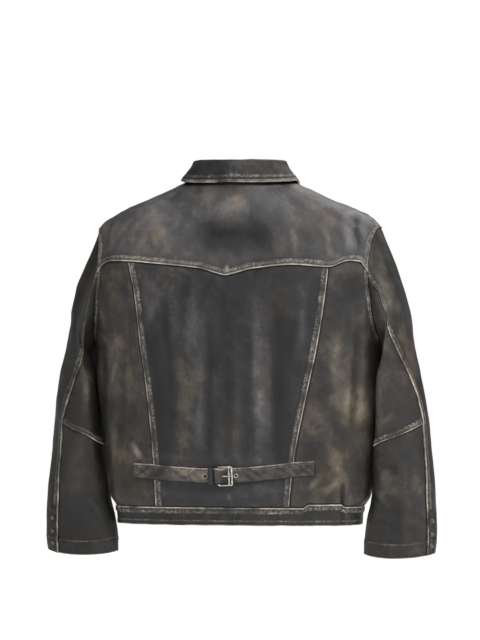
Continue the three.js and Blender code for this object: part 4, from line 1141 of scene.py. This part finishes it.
def sleeve_point(place, turn, sign):
    place, turn = np.broadcast_arrays(place, turn)
    blend = (1 - ease(place / ARMHOLE_BLEND))[..., None]
    point = ring_point(place, turn) + blend * (armhole_point(turn) - ring_point(0 * place, turn))
    return point * np.array([sign, 1.0, 1.0])


back_seam_turn = profile((0, armhole_turn(YOKE_AT_ARMHOLE)), (1, 81), (2, 90), (3, 100), (4, 102), (5, 93), (6, 78),
                         (7, 65), (8, 51), (9, 41), (10, 36), (12, 39), (14, 45), (17, 45))
hanging_turn = profile((0, 0), (1, 4), (2, 14), (3, 19), (4, 22), (5, 24), (6, 24.5), (7, 23.5), (8, 20), (9, 17),
                       (10, 15), (12, 13), (14, 9), (17, 8))
front_seam_turn = profile((0, 360 - armhole_turn(FRONT_SEAM_AT_ARMHOLE)), (4, 228), (10, 232), (17, 236))


def back_seam(place, sign):
    return back_seam_turn(place) - sign * hanging_turn(place)


def front_seam(place, sign):
    return front_seam_turn(place) - sign * hanging_turn(place)


print(f"The sleeve's seams at the elbow turn to {back_seam(10.0, 1):.0f} and {front_seam(10.0, 1):.0f} degrees")

# %% Folds and colour of the sleeves
# Seen from behind: x from the jacket's middle, positive on the wearer's right.
SLEEVE_FOLDS = {
    1: [((262, -440), (300, -415), 8, 2.0), ((266, -478), (310, -462), 12, -3.0), ((262, -505), (300, -520), 9, -2.6),
        ((258, -560), (282, -586), 6, 2.2), ((300, -330), (330, -400), 14, 2.0), ((280, -300), (300, -380), 12, -2.0),
        ((330, -480), (336, -600), 15, 1.8), ((292, -500), (290, -620), 15, -1.8),
        ((318, -250), (334, -340), 13, -2.2), ((285, -180), (300, -240), 10, 2.0),
        ((272, -600), (330, -612), 10, 1.2), ((262, -330), (268, -400), 8, 2.4)],
    -1: [((-320, -238), (-298, -238), 2.2, 0.3), ((-296, -190), (-322, -272), 13, -2.6),
         ((-272, -574), (-232, -612), 6, 3.2), ((-280, -586), (-240, -625), 7, -2.6),
         ((-318, -320), (-336, -420), 14, 2.0), ((-294, -330), (-296, -420), 12, -2.0),
         ((-340, -470), (-330, -600), 14, -1.8), ((-300, -480), (-292, -580), 16, 2.2),
         ((-270, -450), (-262, -520), 9, -2.0), ((-330, -250), (-340, -340), 12, -2.0),
         ((-290, -180), (-302, -250), 10, 2.0), ((-262, -340), (-270, -400), 8, 2.2),
         ((-320, -440), (-270, -470), 9, 1.4)],
}
# On the left sleeve, the two strong dark strokes down the outer side of the top piece are painted shade, where the
# sleeve rounds away from the light, and the pale stroke along the inner edge of the under piece is partly rubbed and
# partly painted light over the shade between sleeve and body. On the right sleeve, the dark stroke at the inner elbow
# is painted shade in its hollow.
SLEEVE_TONES = {
    1: [((272, -160), (288, -250), 8, 0.3), ((300, -250), (330, -360), 9, 0.45), ((292, -300), (300, -400), 14, 0.05),
        ((300, -190), (322, -250), 9, -0.3), ((262, -480), (290, -500), 14, -0.35), ((330, -470), (330, -640), 16, 0.1),
        ((268, -560), (290, -600), 14, -0.2)],
    -1: [((-272, -120), (-292, -230), 12, 0.35), ((-286, -200), (-303, -335), 15, -1.2),
         ((-303, -335), (-327, -430), 13, -1.2), ((-258, -270), (-264, -420), 13, 0.5),
         ((-266, -190), (-276, -290), 12, -0.5), ((-318, -470), (-322, -540), 9, -0.4),
         ((-290, -470), (-296, -570), 18, 0.5), ((-260, -590), (-240, -612), 9, 0.2),
         ((-340, -600), (-340, -650), 10, 0.2)],
}
SLEEVE_WARMTH = {
    1: [((296, -250), (330, -370), 14, 0.4), ((284, -300), (300, -400), 16, 0.1)],
    -1: [((-270, -120), (-296, -240), 16, 0.8), ((-290, -460), (-296, -580), 22, 0.8),
         ((-266, -320), (-284, -430), 14, 0.4), ((-240, -620), (-300, -640), 16, 0.5),
         ((-330, -600), (-330, -660), 18, 0.6)],
}
# The left sleeve's lower base tone is painted shade, for the side turned from the light.
SLEEVE_BASE = {1: (-0.3, 0.3), -1: (-0.72, 0.4)}  # tone and warmth where no stroke is; the left sleeve is darker
FRONT_SLEEVE_FOLDS = [((262, -470), (330, -440), 9, 2.4), ((258, -500), (320, -476), 9, -2.4),
                      ((262, -430), (310, -404), 8, -1.8), ((300, -520), (296, -620), 14, 1.8),
                      ((270, -340), (300, -280), 12, 2.0), ((320, -240), (334, -380), 13, -2.0)]
print(f"{len(SLEEVE_FOLDS[1])} folds on the right sleeve, {len(SLEEVE_FOLDS[-1])} on the left one")


# %% Sleeve pieces
def sleeve_relief(sign):
    def relief(points, s, t):
        x, y, z = points[..., 0], points[..., 1], points[..., 2]
        back, front = ease((12 - y) / 24), ease((y - 2) / 24)
        folds = back * strokes(x, z, SLEEVE_FOLDS[sign]) + front * strokes(np.abs(x), z, FRONT_SLEEVE_FOLDS)
        return common_relief(points) + folds * ease((np.abs(x) - 252) / 14)
    return relief


def sleeve_paint(sign):
    return lambda points: colour_strokes(points, SLEEVE_TONES[sign], SLEEVE_WARMTH[sign], *SLEEVE_BASE[sign])


def elbow_at(share):
    return mix(10.1, 11.3, np.sin(np.minimum(1, share * 1.35) * math.pi / 2))


for side, sign in (("left", -1), ("right", 1)):
    def top_piece(s, t):
        place = CUFF * t
        return sleeve_point(place, mix(front_seam(place, sign) - 360, back_seam(place, sign), s), sign)

    def under_piece(first, last):
        def surface(s, t):
            place = mix(first(s), last(s), t)
            return sleeve_point(place, mix(back_seam(place, sign), front_seam(place, sign), s), sign)
        return surface

    for piece, surface, top in (("top", top_piece, "cuff"),
                                ("under_upper", under_piece(lambda s: 0 * s, elbow_at), "lap"),
                                ("under_lower", under_piece(elbow_at, lambda s: CUFF + 0 * s), "cuff")):
        sheet(f"sleeve_{piece}_{side}_hide", surface, {"low": "tuck", "high": "lap", "bottom": "tuck", "top": top},
              [f"sleeve_{piece}_{side}"], sleeve_relief(sign), (sign * 290, 0, -400), paint=sleeve_paint(sign))

# %% [markdown]
# ## Cuff vents and belt straps
# The vent at each cuff is closed by a stitched strip with three snaps. The belt's two straps start from boxed ends
# on the side panels; the right one passes through the buckle and the keeper and ends in a point. Straps are often
# made with a curve and an array of links, but these lie on the jacket's form, so they are strips of it, lifted
# where the buckle and the strap beneath push them out.

# %% Cuff vents
# Places and turns as on a sleeve, and millimetres off it.
VENT = {"from": 14.4, "to": 16.95, "turns": 17, "gap": 1.2, "outside": 2.5}
DULL_EDGES = {"low": "dull", "high": "dull", "bottom": "dull", "top": "dull"}


def vent_point(place, across, distance, sign):
    turn = back_seam(place, sign) - VENT["gap"] - VENT["turns"] * across
    around = sleeve_point(place, turn + 1, sign) - sleeve_point(place, turn - 1, sign)
    down = sleeve_point(np.minimum(place + 0.05, CUFF), turn, sign) - sleeve_point(place - 0.05, turn, sign)
    normal = np.cross(around, down) * sign
    normal /= np.linalg.norm(normal, axis=-1, keepdims=True)
    return sleeve_point(place, turn, sign) + normal * distance, normal


for side, sign in (("left", -1), ("right", 1)):
    def vent_surface(s, t):
        return vent_point(mix(VENT["from"], VENT["to"], t), s, VENT["outside"], sign)[0]

    sheet(f"cuff_vent_{side}_hide", vent_surface, DULL_EDGES, [f"cuff_placket_{side}"], light_relief,
          (sign * 300, 0, -640), step=3.0, thickness=1.8, paint=sleeve_paint(sign))

# %% Measures of the belt
BELT = {"half": 13.5, "clearance": 0.5, "thickness": 2.2, "left": -176, "right": 158}
BUCKLE = {"x": -2, "half_width": 14, "half_height": 18, "bar": 3, "rest_bar": 6.9, "lift": 4.6}
PIVOT_X = BUCKLE["x"] - BUCKLE["half_width"] + BUCKLE["bar"] / 2
OUTER_BAR_X = BUCKLE["x"] + BUCKLE["half_width"] - BUCKLE["bar"] / 2
TIP_X, TIP_LENGTH = -69, 13
over_lift = profile((-69, 3.6), (-36, 3.6), (-22, 4.6), (PIVOT_X - 3, 9), (PIVOT_X + 3, 8.6),
                    (OUTER_BAR_X - 8, 0.6), (OUTER_BAR_X + 8, 0.5), (40, 0.5))


def left_strap(s, t):
    x = mix(BELT["left"], PIVOT_X + 1, s)
    return on_body(x, belt_z(x) + mix(-1, 1, t) * BELT["half"], -1, BELT["clearance"] + BELT["thickness"])


def right_strap(s, t):
    x = mix(TIP_X, BELT["right"], s)
    half = BELT["half"] * np.sqrt(np.clip((x - TIP_X + 0.6) / TIP_LENGTH, 0, 1))
    return on_body(x, belt_z(x) + mix(-1, 1, t) * half, -1, over_lift(x) + BELT["thickness"])


HOLE_X = np.array([-38.4, 17.4])
HOLES = on_body(HOLE_X, belt_z(HOLE_X), -1, over_lift(HOLE_X) + BELT["thickness"])
HOLE_RADIUS, SUNK_RADIUS, SUNK = 2.2, 1.9, 1.5  # the dark hole, and the part of it that is sunk, and how deep


def from_hole(points):
    """The distance to the nearer of the strap's two open holes, whose insides are painted dark as shade."""
    return np.minimum(*(np.linalg.norm(points - hole, axis=-1) for hole in HOLES))


def strap_relief(points, s, t):
    sunk = SUNK * (from_hole(points) < SUNK_RADIUS)
    return 0.3 * swell(points, 26, 19) + 0.15 * swell(points, 9, 20) - sunk


print(f"Strap {2 * BELT['half']:.0f} mm wide, from {BELT['left']} to {BELT['right']} mm")

# %% Belt straps
BOXES = {"left": (-173.4, -143.0), "right": (155.4, 124.0)}  # the strap's sewn ends, from outside to inside
BOX_HALF = BELT["half"] - 2.7


def box_seams(points, box):
    """Small near the two crossed seams of a boxed end, which hold dirt."""
    share = (points[..., 0] - box[0]) / (box[1] - box[0])
    height = points[..., 2] - belt_z(points[..., 0])
    across = np.minimum(np.abs(height - BOX_HALF * (2 * share - 1)), np.abs(height + BOX_HALF * (2 * share - 1)))
    return np.where((share > 0) & (share < 1), 0.9 + 1.7 * across, FAR)


def left_dirt(points):
    return box_seams(points, BOXES["left"])


# Dirt in the crossed seams of the boxed end, and painted shade inside the two holes.
def right_dirt_and_hole_shade(points):
    hole = from_hole(points)
    painted_hole_shade = np.where(hole < HOLE_RADIUS, 0, 1.8 + (hole - HOLE_RADIUS) * 2.5)
    return np.minimum(painted_hole_shade, box_seams(points, BOXES["right"]))


def strap_paint(points):
    """Rubbed on its left half, brown and darker where the buckle holds it, the darkening being painted shade under the
    frame and prong, with a pale ring round each hole.
    """
    x = points[..., 0]
    tone, warm = colour_strokes(points, base=0.12, warm_base=0.2)
    held, rubbed = bead(x, -3, 9), bead(x, -62, 28)
    ring = bead(from_hole(points), 3.9, 0.9)
    tone, warm = tone - 0.5 * held + 0.3 * rubbed + 0.9 * ring, warm + 0.8 * held + 0.3 * rubbed
    return np.clip(tone, -1, 1), np.clip(warm, 0, 1)


# The strap's top edge gets a pale rim and its other edges a dark band. Both are partly wear and dirt: the pale top rim
# is partly a painted highlight, and the dark lower edge partly painted shade, as the light falls from above.
for side, surface, dirt_and_painted_shade in (("left", left_strap, left_dirt), ("right", right_strap, right_dirt_and_hole_shade)):
    sheet(f"belt_{side}_strap_hide", surface, {**DULL_EDGES, "top": "strap"}, [f"belt_strap_{side}"], strap_relief,
          INSIDE, step=1.6, paint=strap_paint, near=dirt_and_painted_shade)

# %% [markdown]
# ## Hardware
# The buckle is a frame of round-edged bar with a prong, cast in brass and nickel plated, now dull and scratched.
# The snaps are pressed caps with a rolled rim. Each is modelled at the origin, lying flat, where sizes and
# directions are easy to read, and then moved to its seat, mesh and all. Rounded edges are most of what makes small
# metal look real, since each one catches a line of light, so every part gets a bevel.


# %% Seats
def seat(point, along, outwards):
    """A matrix in metres that takes x to along and z to outwards, at a point in mm."""
    z = Vector(outwards).normalized()
    y = z.cross(Vector(along)).normalized()
    x = y.cross(z)
    matrix = Matrix((x, y, z)).transposed().to_4x4()
    matrix.translation = Vector(point) * MM
    return matrix


def on_belt(x, distance):
    return on_body(np.array(x, float), belt_z(np.array(x, float)), -1, distance)


def belt_seat(x, distance):
    here = on_belt(x, distance)
    return seat(here, on_belt(x + 5.0, distance) - here, here - on_belt(x, distance - 1))


def settle(piece, name, matrix, material, replaced):
    piece.name = piece.data.name = name
    piece.data.transform(matrix)
    piece.data.materials.clear()
    piece.data.materials.append(material)
    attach(piece, "root")
    if replaced:
        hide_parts(*replaced)
    piece.select_set(False)
    print(f"{name}: {len(piece.data.polygons)} faces")


print(f"The buckle sits {belt_seat(BUCKLE['x'], BUCKLE['lift']).translation.z / MM:.0f} mm below the neck seam")


# %% Tools for small parts
def block(size, at=(0, 0, 0)):
    """A box of a size in mm, added alone."""
    bpy.ops.object.select_all(action="DESELECT")
    bpy.ops.mesh.primitive_cube_add(size=1, location=[c * MM for c in at])
    made = bpy.context.object
    made.scale = [c * MM for c in size]
    bpy.ops.object.transform_apply(location=True, rotation=True, scale=True)
    return made


def join(main, other):
    main.select_set(True)
    other.select_set(True)
    bpy.context.view_layer.objects.active = main
    bpy.ops.object.join()


SHARP_OVER = 0.6  # radians between faces whose edge is rounded
METAL_SMOOTH_UNDER = 40  # degrees between faces that are shaded as one surface


def apply_bevel(piece, width, segments):
    bevel = piece.modifiers.new("round_edges", "BEVEL")
    bevel.width, bevel.segments = width * MM, segments
    bevel.limit_method, bevel.angle_limit = "ANGLE", SHARP_OVER
    bpy.ops.object.modifier_apply(modifier="round_edges")
    bpy.ops.object.shade_smooth_by_angle(angle=math.radians(METAL_SMOOTH_UNDER))


def select_only(kind, test):
    """In edit mode, selects the elements of the active mesh that pass a test."""
    bpy.ops.mesh.select_mode(type=kind)
    bpy.ops.mesh.select_all(action="DESELECT")
    bpy.ops.object.mode_set(mode="OBJECT")
    mesh = bpy.context.object.data
    for element in {"VERT": mesh.vertices, "EDGE": mesh.edges, "FACE": mesh.polygons}[kind]:
        element.select = bool(test(element, mesh))
    bpy.ops.object.mode_set(mode="EDIT")


def upright(edge, mesh):
    first, second = (mesh.vertices[i].co.z for i in edge.vertices)
    return abs(first - second) > MM


print(f"Edges over {math.degrees(SHARP_OVER):.0f} degrees are rounded")

# %% Buckle frame
buckle = block((2 * BUCKLE["half_width"], 2 * BUCKLE["half_height"], BUCKLE["bar"]))
bpy.ops.object.mode_set(mode="EDIT")
select_only("EDGE", upright)
bpy.ops.mesh.bevel(offset=4 * MM, segments=5)
select_only("FACE", lambda face, mesh: abs(face.normal.z) > 0.9)
bpy.ops.mesh.inset(thickness=BUCKLE["bar"] * MM)
bpy.ops.mesh.bridge_edge_loops()
bpy.ops.object.mode_set(mode="OBJECT")
apply_bevel(buckle, 1.0, 3)
rest_bar = block((2.4, 2 * BUCKLE["half_height"] - BUCKLE["bar"], 2.4), (BUCKLE["rest_bar"], 0, 0))
apply_bevel(rest_bar, 0.8, 3)
join(buckle, rest_bar)
settle(buckle, "buckle_bar_frame", belt_seat(BUCKLE["x"], BUCKLE["lift"]), nickel, ["buckle_frame"])

# %% Prong and eyelet
reach = OUTER_BAR_X - PIVOT_X + 2.5
prong = block((reach, 2.8, 1.8), (reach / 2, 0, 3.0))
bpy.ops.object.mode_set(mode="EDIT")
select_only("FACE", lambda face, mesh: face.normal.x > 0.9)
bpy.ops.transform.resize(value=(1, 0.6, 0.6))
bpy.ops.object.mode_set(mode="OBJECT")
apply_bevel(prong, 0.7, 3)
bpy.ops.object.select_all(action="DESELECT")
bpy.ops.mesh.primitive_torus_add(major_radius=2.9 * MM, minor_radius=1.1 * MM, major_segments=24, minor_segments=10,
                                 rotation=(math.radians(90), 0, 0))
bpy.ops.object.transform_apply(location=True, rotation=True, scale=True)
bpy.ops.object.shade_smooth()
join(prong, bpy.context.object)
settle(prong, "buckle_prong_tongue", belt_seat(PIVOT_X, BUCKLE["lift"]), nickel, ["buckle_prong"])
bpy.ops.object.select_all(action="DESELECT")
bpy.ops.mesh.primitive_torus_add(major_radius=3.0 * MM, minor_radius=0.75 * MM, major_segments=24, minor_segments=10)
bpy.ops.object.shade_smooth()
settle(bpy.context.object, "eyelet_ring", belt_seat(HOLE_X[1], 3.3), nickel, ["belt_eyelet"])


# %% Snaps
def snap_cap(radius):
    """A pressed cap: a low drum whose top steps in to a ring and a dimple."""
    bpy.ops.object.select_all(action="DESELECT")
    bpy.ops.mesh.primitive_cylinder_add(vertices=32, radius=radius * MM, depth=1.6 * MM, location=(0, 0, 0.8 * MM))
    cap = bpy.context.object
    bpy.ops.object.transform_apply(location=True, rotation=True, scale=True)
    bpy.ops.object.mode_set(mode="EDIT")
    for inset, rise in ((0.16, 0.6), (0.18, 0.0), (0.12, -0.5), (0.2, 0.25)):  # share of the radius, and mm
        select_only("FACE", lambda face, mesh: face.normal.z > 0.9 and face.center.to_2d().length < 0.01 * MM
                    and face.center.z > 0.5 * MM)
        bpy.ops.mesh.inset(thickness=inset * radius * MM)
        bpy.ops.transform.translate(value=(0, 0, rise * MM))
    bpy.ops.object.mode_set(mode="OBJECT")
    apply_bevel(cap, 0.25, 2)
    return cap


SNAP_HEIGHTS = (-112, -208, -304, -400, -496, -602)
SNAP_PLACES = (14.95, 15.65, 16.35)  # on the sleeve
FRONT_SNAP, CUFF_SNAP, SNAP_OUTSIDE = 7, 4.3, 4.2  # radii, and how far the front ones sit off the body
for i, z in enumerate(SNAP_HEIGHTS, 1):
    here, beneath = (on_body(np.array(0.0), np.array(float(z)), 1, SNAP_OUTSIDE - less) for less in (0.0, 1.0))
    settle(snap_cap(FRONT_SNAP), f"front_snap_cap_{i}", seat(here, (-1, 0, 0), here - beneath), nickel,
           [f"front_snap_{i}"])
for side, sign in (("left", -1), ("right", 1)):
    for i, place in enumerate(SNAP_PLACES, 1):
        here, outwards = vent_point(np.array(place), np.array(0.5), VENT["outside"] + 0.2, sign)
        settle(snap_cap(CUFF_SNAP), f"cuff_snap_cap_{side}_{i}", seat(here, (0, 0, 1), outwards), tarnished,
               [f"cuff_snap_{side}_{i}"])

# %% [markdown]
# ## Keeper
# The keeper is a narrow loop of leather round both straps. It is a short sheet bent over them, on a path with
# rounded corners, since stiff leather doesn't fold sharp. A torus squeezed flat would be quicker, but it would have
# no edges, and the cut edges are what tells a strap's keeper from a ring.


# %% Keeper
KEEPER = {"x": -27.5, "half": 5.1, "reach": 14.9, "top": 8.6, "base": 0.6}
CORNER = ((0, 2.2), (0.7, 0.7), (2.2, 0))  # how far the path keeps in from the side and down from the top


def keeper_surface(s, t):
    half = [(-KEEPER["reach"], KEEPER["base"])] + [(-KEEPER["reach"] + x, KEEPER["top"] - z) for x, z in CORNER]
    path = np.array(half + [(-x, z) for x, z in reversed(half)])
    run = np.concatenate([[0], np.cumsum(np.linalg.norm(np.diff(path, axis=0), axis=1))])
    up, out = (np.interp(t * run[-1], run, path[:, k]) for k in (0, 1))
    matrix = np.array(belt_seat(KEEPER["x"], 0.0))
    local = np.stack([mix(-KEEPER["half"], KEEPER["half"], s), up, out], -1)
    return local @ matrix[:3, :3].T + matrix[:3, 3] / MM


def smooth_relief(points, s, t):
    return 0.0 * s


keeper_middle = np.array(belt_seat(KEEPER["x"], 3.0).translation) / MM
sheet("belt_keeper_hide", keeper_surface, {"low": "dull", "high": "dull", "bottom": "open", "top": "open"},
      ["belt_keeper"], smooth_relief, keeper_middle, step=1.2, thickness=1.5)

# %% [markdown]
# ## Stitches
# Every row is sewn with thick waxed thread, about three stitches to the centimetre. One stitch is modelled as a
# small low bead with pointed ends, which dip into the leather. It is then copied along each row that was noted
# while the sheets were made, so the rows follow every pucker. An array on a curve could do this for one row, but
# there are dozens of rows and thousands of stitches, and one mesh for each sheet's rows is lighter.

# %% One stitch
STITCH = {"pitch": 3.5, "length": 2.5, "width": 0.78, "height": 0.5, "sides": 6}
FULL = 0.8  # how wide and high the bead is beside its ends, as a share
bpy.ops.object.select_all(action="DESELECT")
bpy.ops.mesh.primitive_cylinder_add(
    vertices=STITCH["sides"], radius=FULL * STITCH["height"] * MM, depth=0.68 * STITCH["length"] * MM,
    end_fill_type="TRIFAN", rotation=(0, math.radians(90), 0))
bead_piece = bpy.context.object
bead_piece.scale.y = STITCH["width"] / 2 / STITCH["height"]
bpy.ops.object.transform_apply(location=True, rotation=True, scale=True)
bpy.ops.object.mode_set(mode="EDIT")
select_only("VERT", lambda vertex, mesh: vertex.co.yz.length < 0.01 * MM)
bpy.ops.transform.resize(value=(1 / 0.68, 1, 1))
bpy.ops.transform.translate(value=(0, 0, -0.3 * MM))
bpy.ops.mesh.select_all(action="SELECT")
bpy.ops.mesh.quads_convert_to_tris()
bpy.ops.object.mode_set(mode="OBJECT")
bead_points = np.array([vertex.co for vertex in bead_piece.data.vertices]) / MM
bead_faces = np.array([face.vertices for face in bead_piece.data.polygons])
bpy.data.meshes.remove(bead_piece.data)
print(f"A stitch: {len(bead_points)} points, {len(bead_faces)} faces, {np.ptp(bead_points[:, 0]):.1f} mm long")


# %% Sewing
LIFTED = 0.1  # how far the middle of a bead stands off the leather


def sew(name, lines):
    """One mesh with a bead every pitch along each line of points and normals."""
    placed = []
    for points, normals in lines:
        if len(points) < 2:
            continue
        run = np.concatenate([[0], np.cumsum(np.linalg.norm(np.diff(points, axis=0), axis=1))])
        at = np.arange(STITCH["pitch"] / 2, run[-1], STITCH["pitch"])
        where = np.stack([np.interp(at, run, points[:, k]) for k in range(3)], -1)
        ahead, behind = (np.stack([np.interp(at + near, run, points[:, k]) for k in range(3)], -1)
                         for near in (0.8, -0.8))
        along = ahead - behind
        along /= np.maximum(np.linalg.norm(along, axis=-1, keepdims=True), 1e-9)
        out = np.stack([np.interp(at, run, normals[:, k]) for k in range(3)], -1)
        side = np.cross(out, along)
        side /= np.maximum(np.linalg.norm(side, axis=-1, keepdims=True), 1e-9)
        out = np.cross(along, side)
        placed.append(where[:, None] + bead_points[None, :, :1] * along[:, None]
                      + bead_points[None, :, 1:2] * side[:, None]
                      + (bead_points[None, :, 2:] + LIFTED) * out[:, None])
    points = np.concatenate(placed)
    count = len(points)
    all_faces = (bead_faces[None] + np.arange(count)[:, None, None] * len(bead_points)).reshape(-1, 3)
    mesh = bpy.data.meshes.new(name)
    mesh.from_pydata((points.reshape(-1, 3) * MM).tolist(), [], all_faces.tolist())
    mesh.materials.append(thread)
    mesh.shade_smooth()
    piece = bpy.data.objects.new(name, mesh)
    bpy.context.scene.collection.objects.link(piece)
    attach(piece, "root")
    print(f"{name}: {count} stitches")


def belt_line(corners):
    """A row of stitches on the strap through corners given as x and the height above the strap's middle."""
    line = []
    for (x0, z0), (x1, z1) in zip(corners, corners[1:]):
        share = np.linspace(0, 1, 12)
        x, z = mix(x0, x1, share), mix(z0, z1, share)
        lift = np.where(x < -100, BELT["clearance"], over_lift(x)) + BELT["thickness"]
        here = on_body(x, belt_z(x) + z, -1, lift)
        line.append((here, here - on_body(x, belt_z(x) + z, -1, lift - 1)))
    return line


DIAMOND = 7  # half the width of the diamond sewn round the eyelet
for side, (outside_x, inside_x) in BOXES.items():
    for start, end in (((outside_x, -BOX_HALF), (inside_x, BOX_HALF)), ((outside_x, BOX_HALF), (inside_x, -BOX_HALF)),
                       ((inside_x, -BOX_HALF), (inside_x, BOX_HALF))):
        SEAM_LINES[f"belt_{side}_strap_hide"] += belt_line([start, end])
SEAM_LINES["belt_right_strap_hide"] += belt_line(
    [(HOLE_X[1] + DIAMOND * x, DIAMOND * z) for x, z in ((-1, 0), (0, 1), (1, 0), (0, -1), (-1, 0))])
for name, lines in SEAM_LINES.items():
    if any(len(points) > 1 for points, _ in lines):
        sew(name.replace("_hide", "_stitches"), lines)
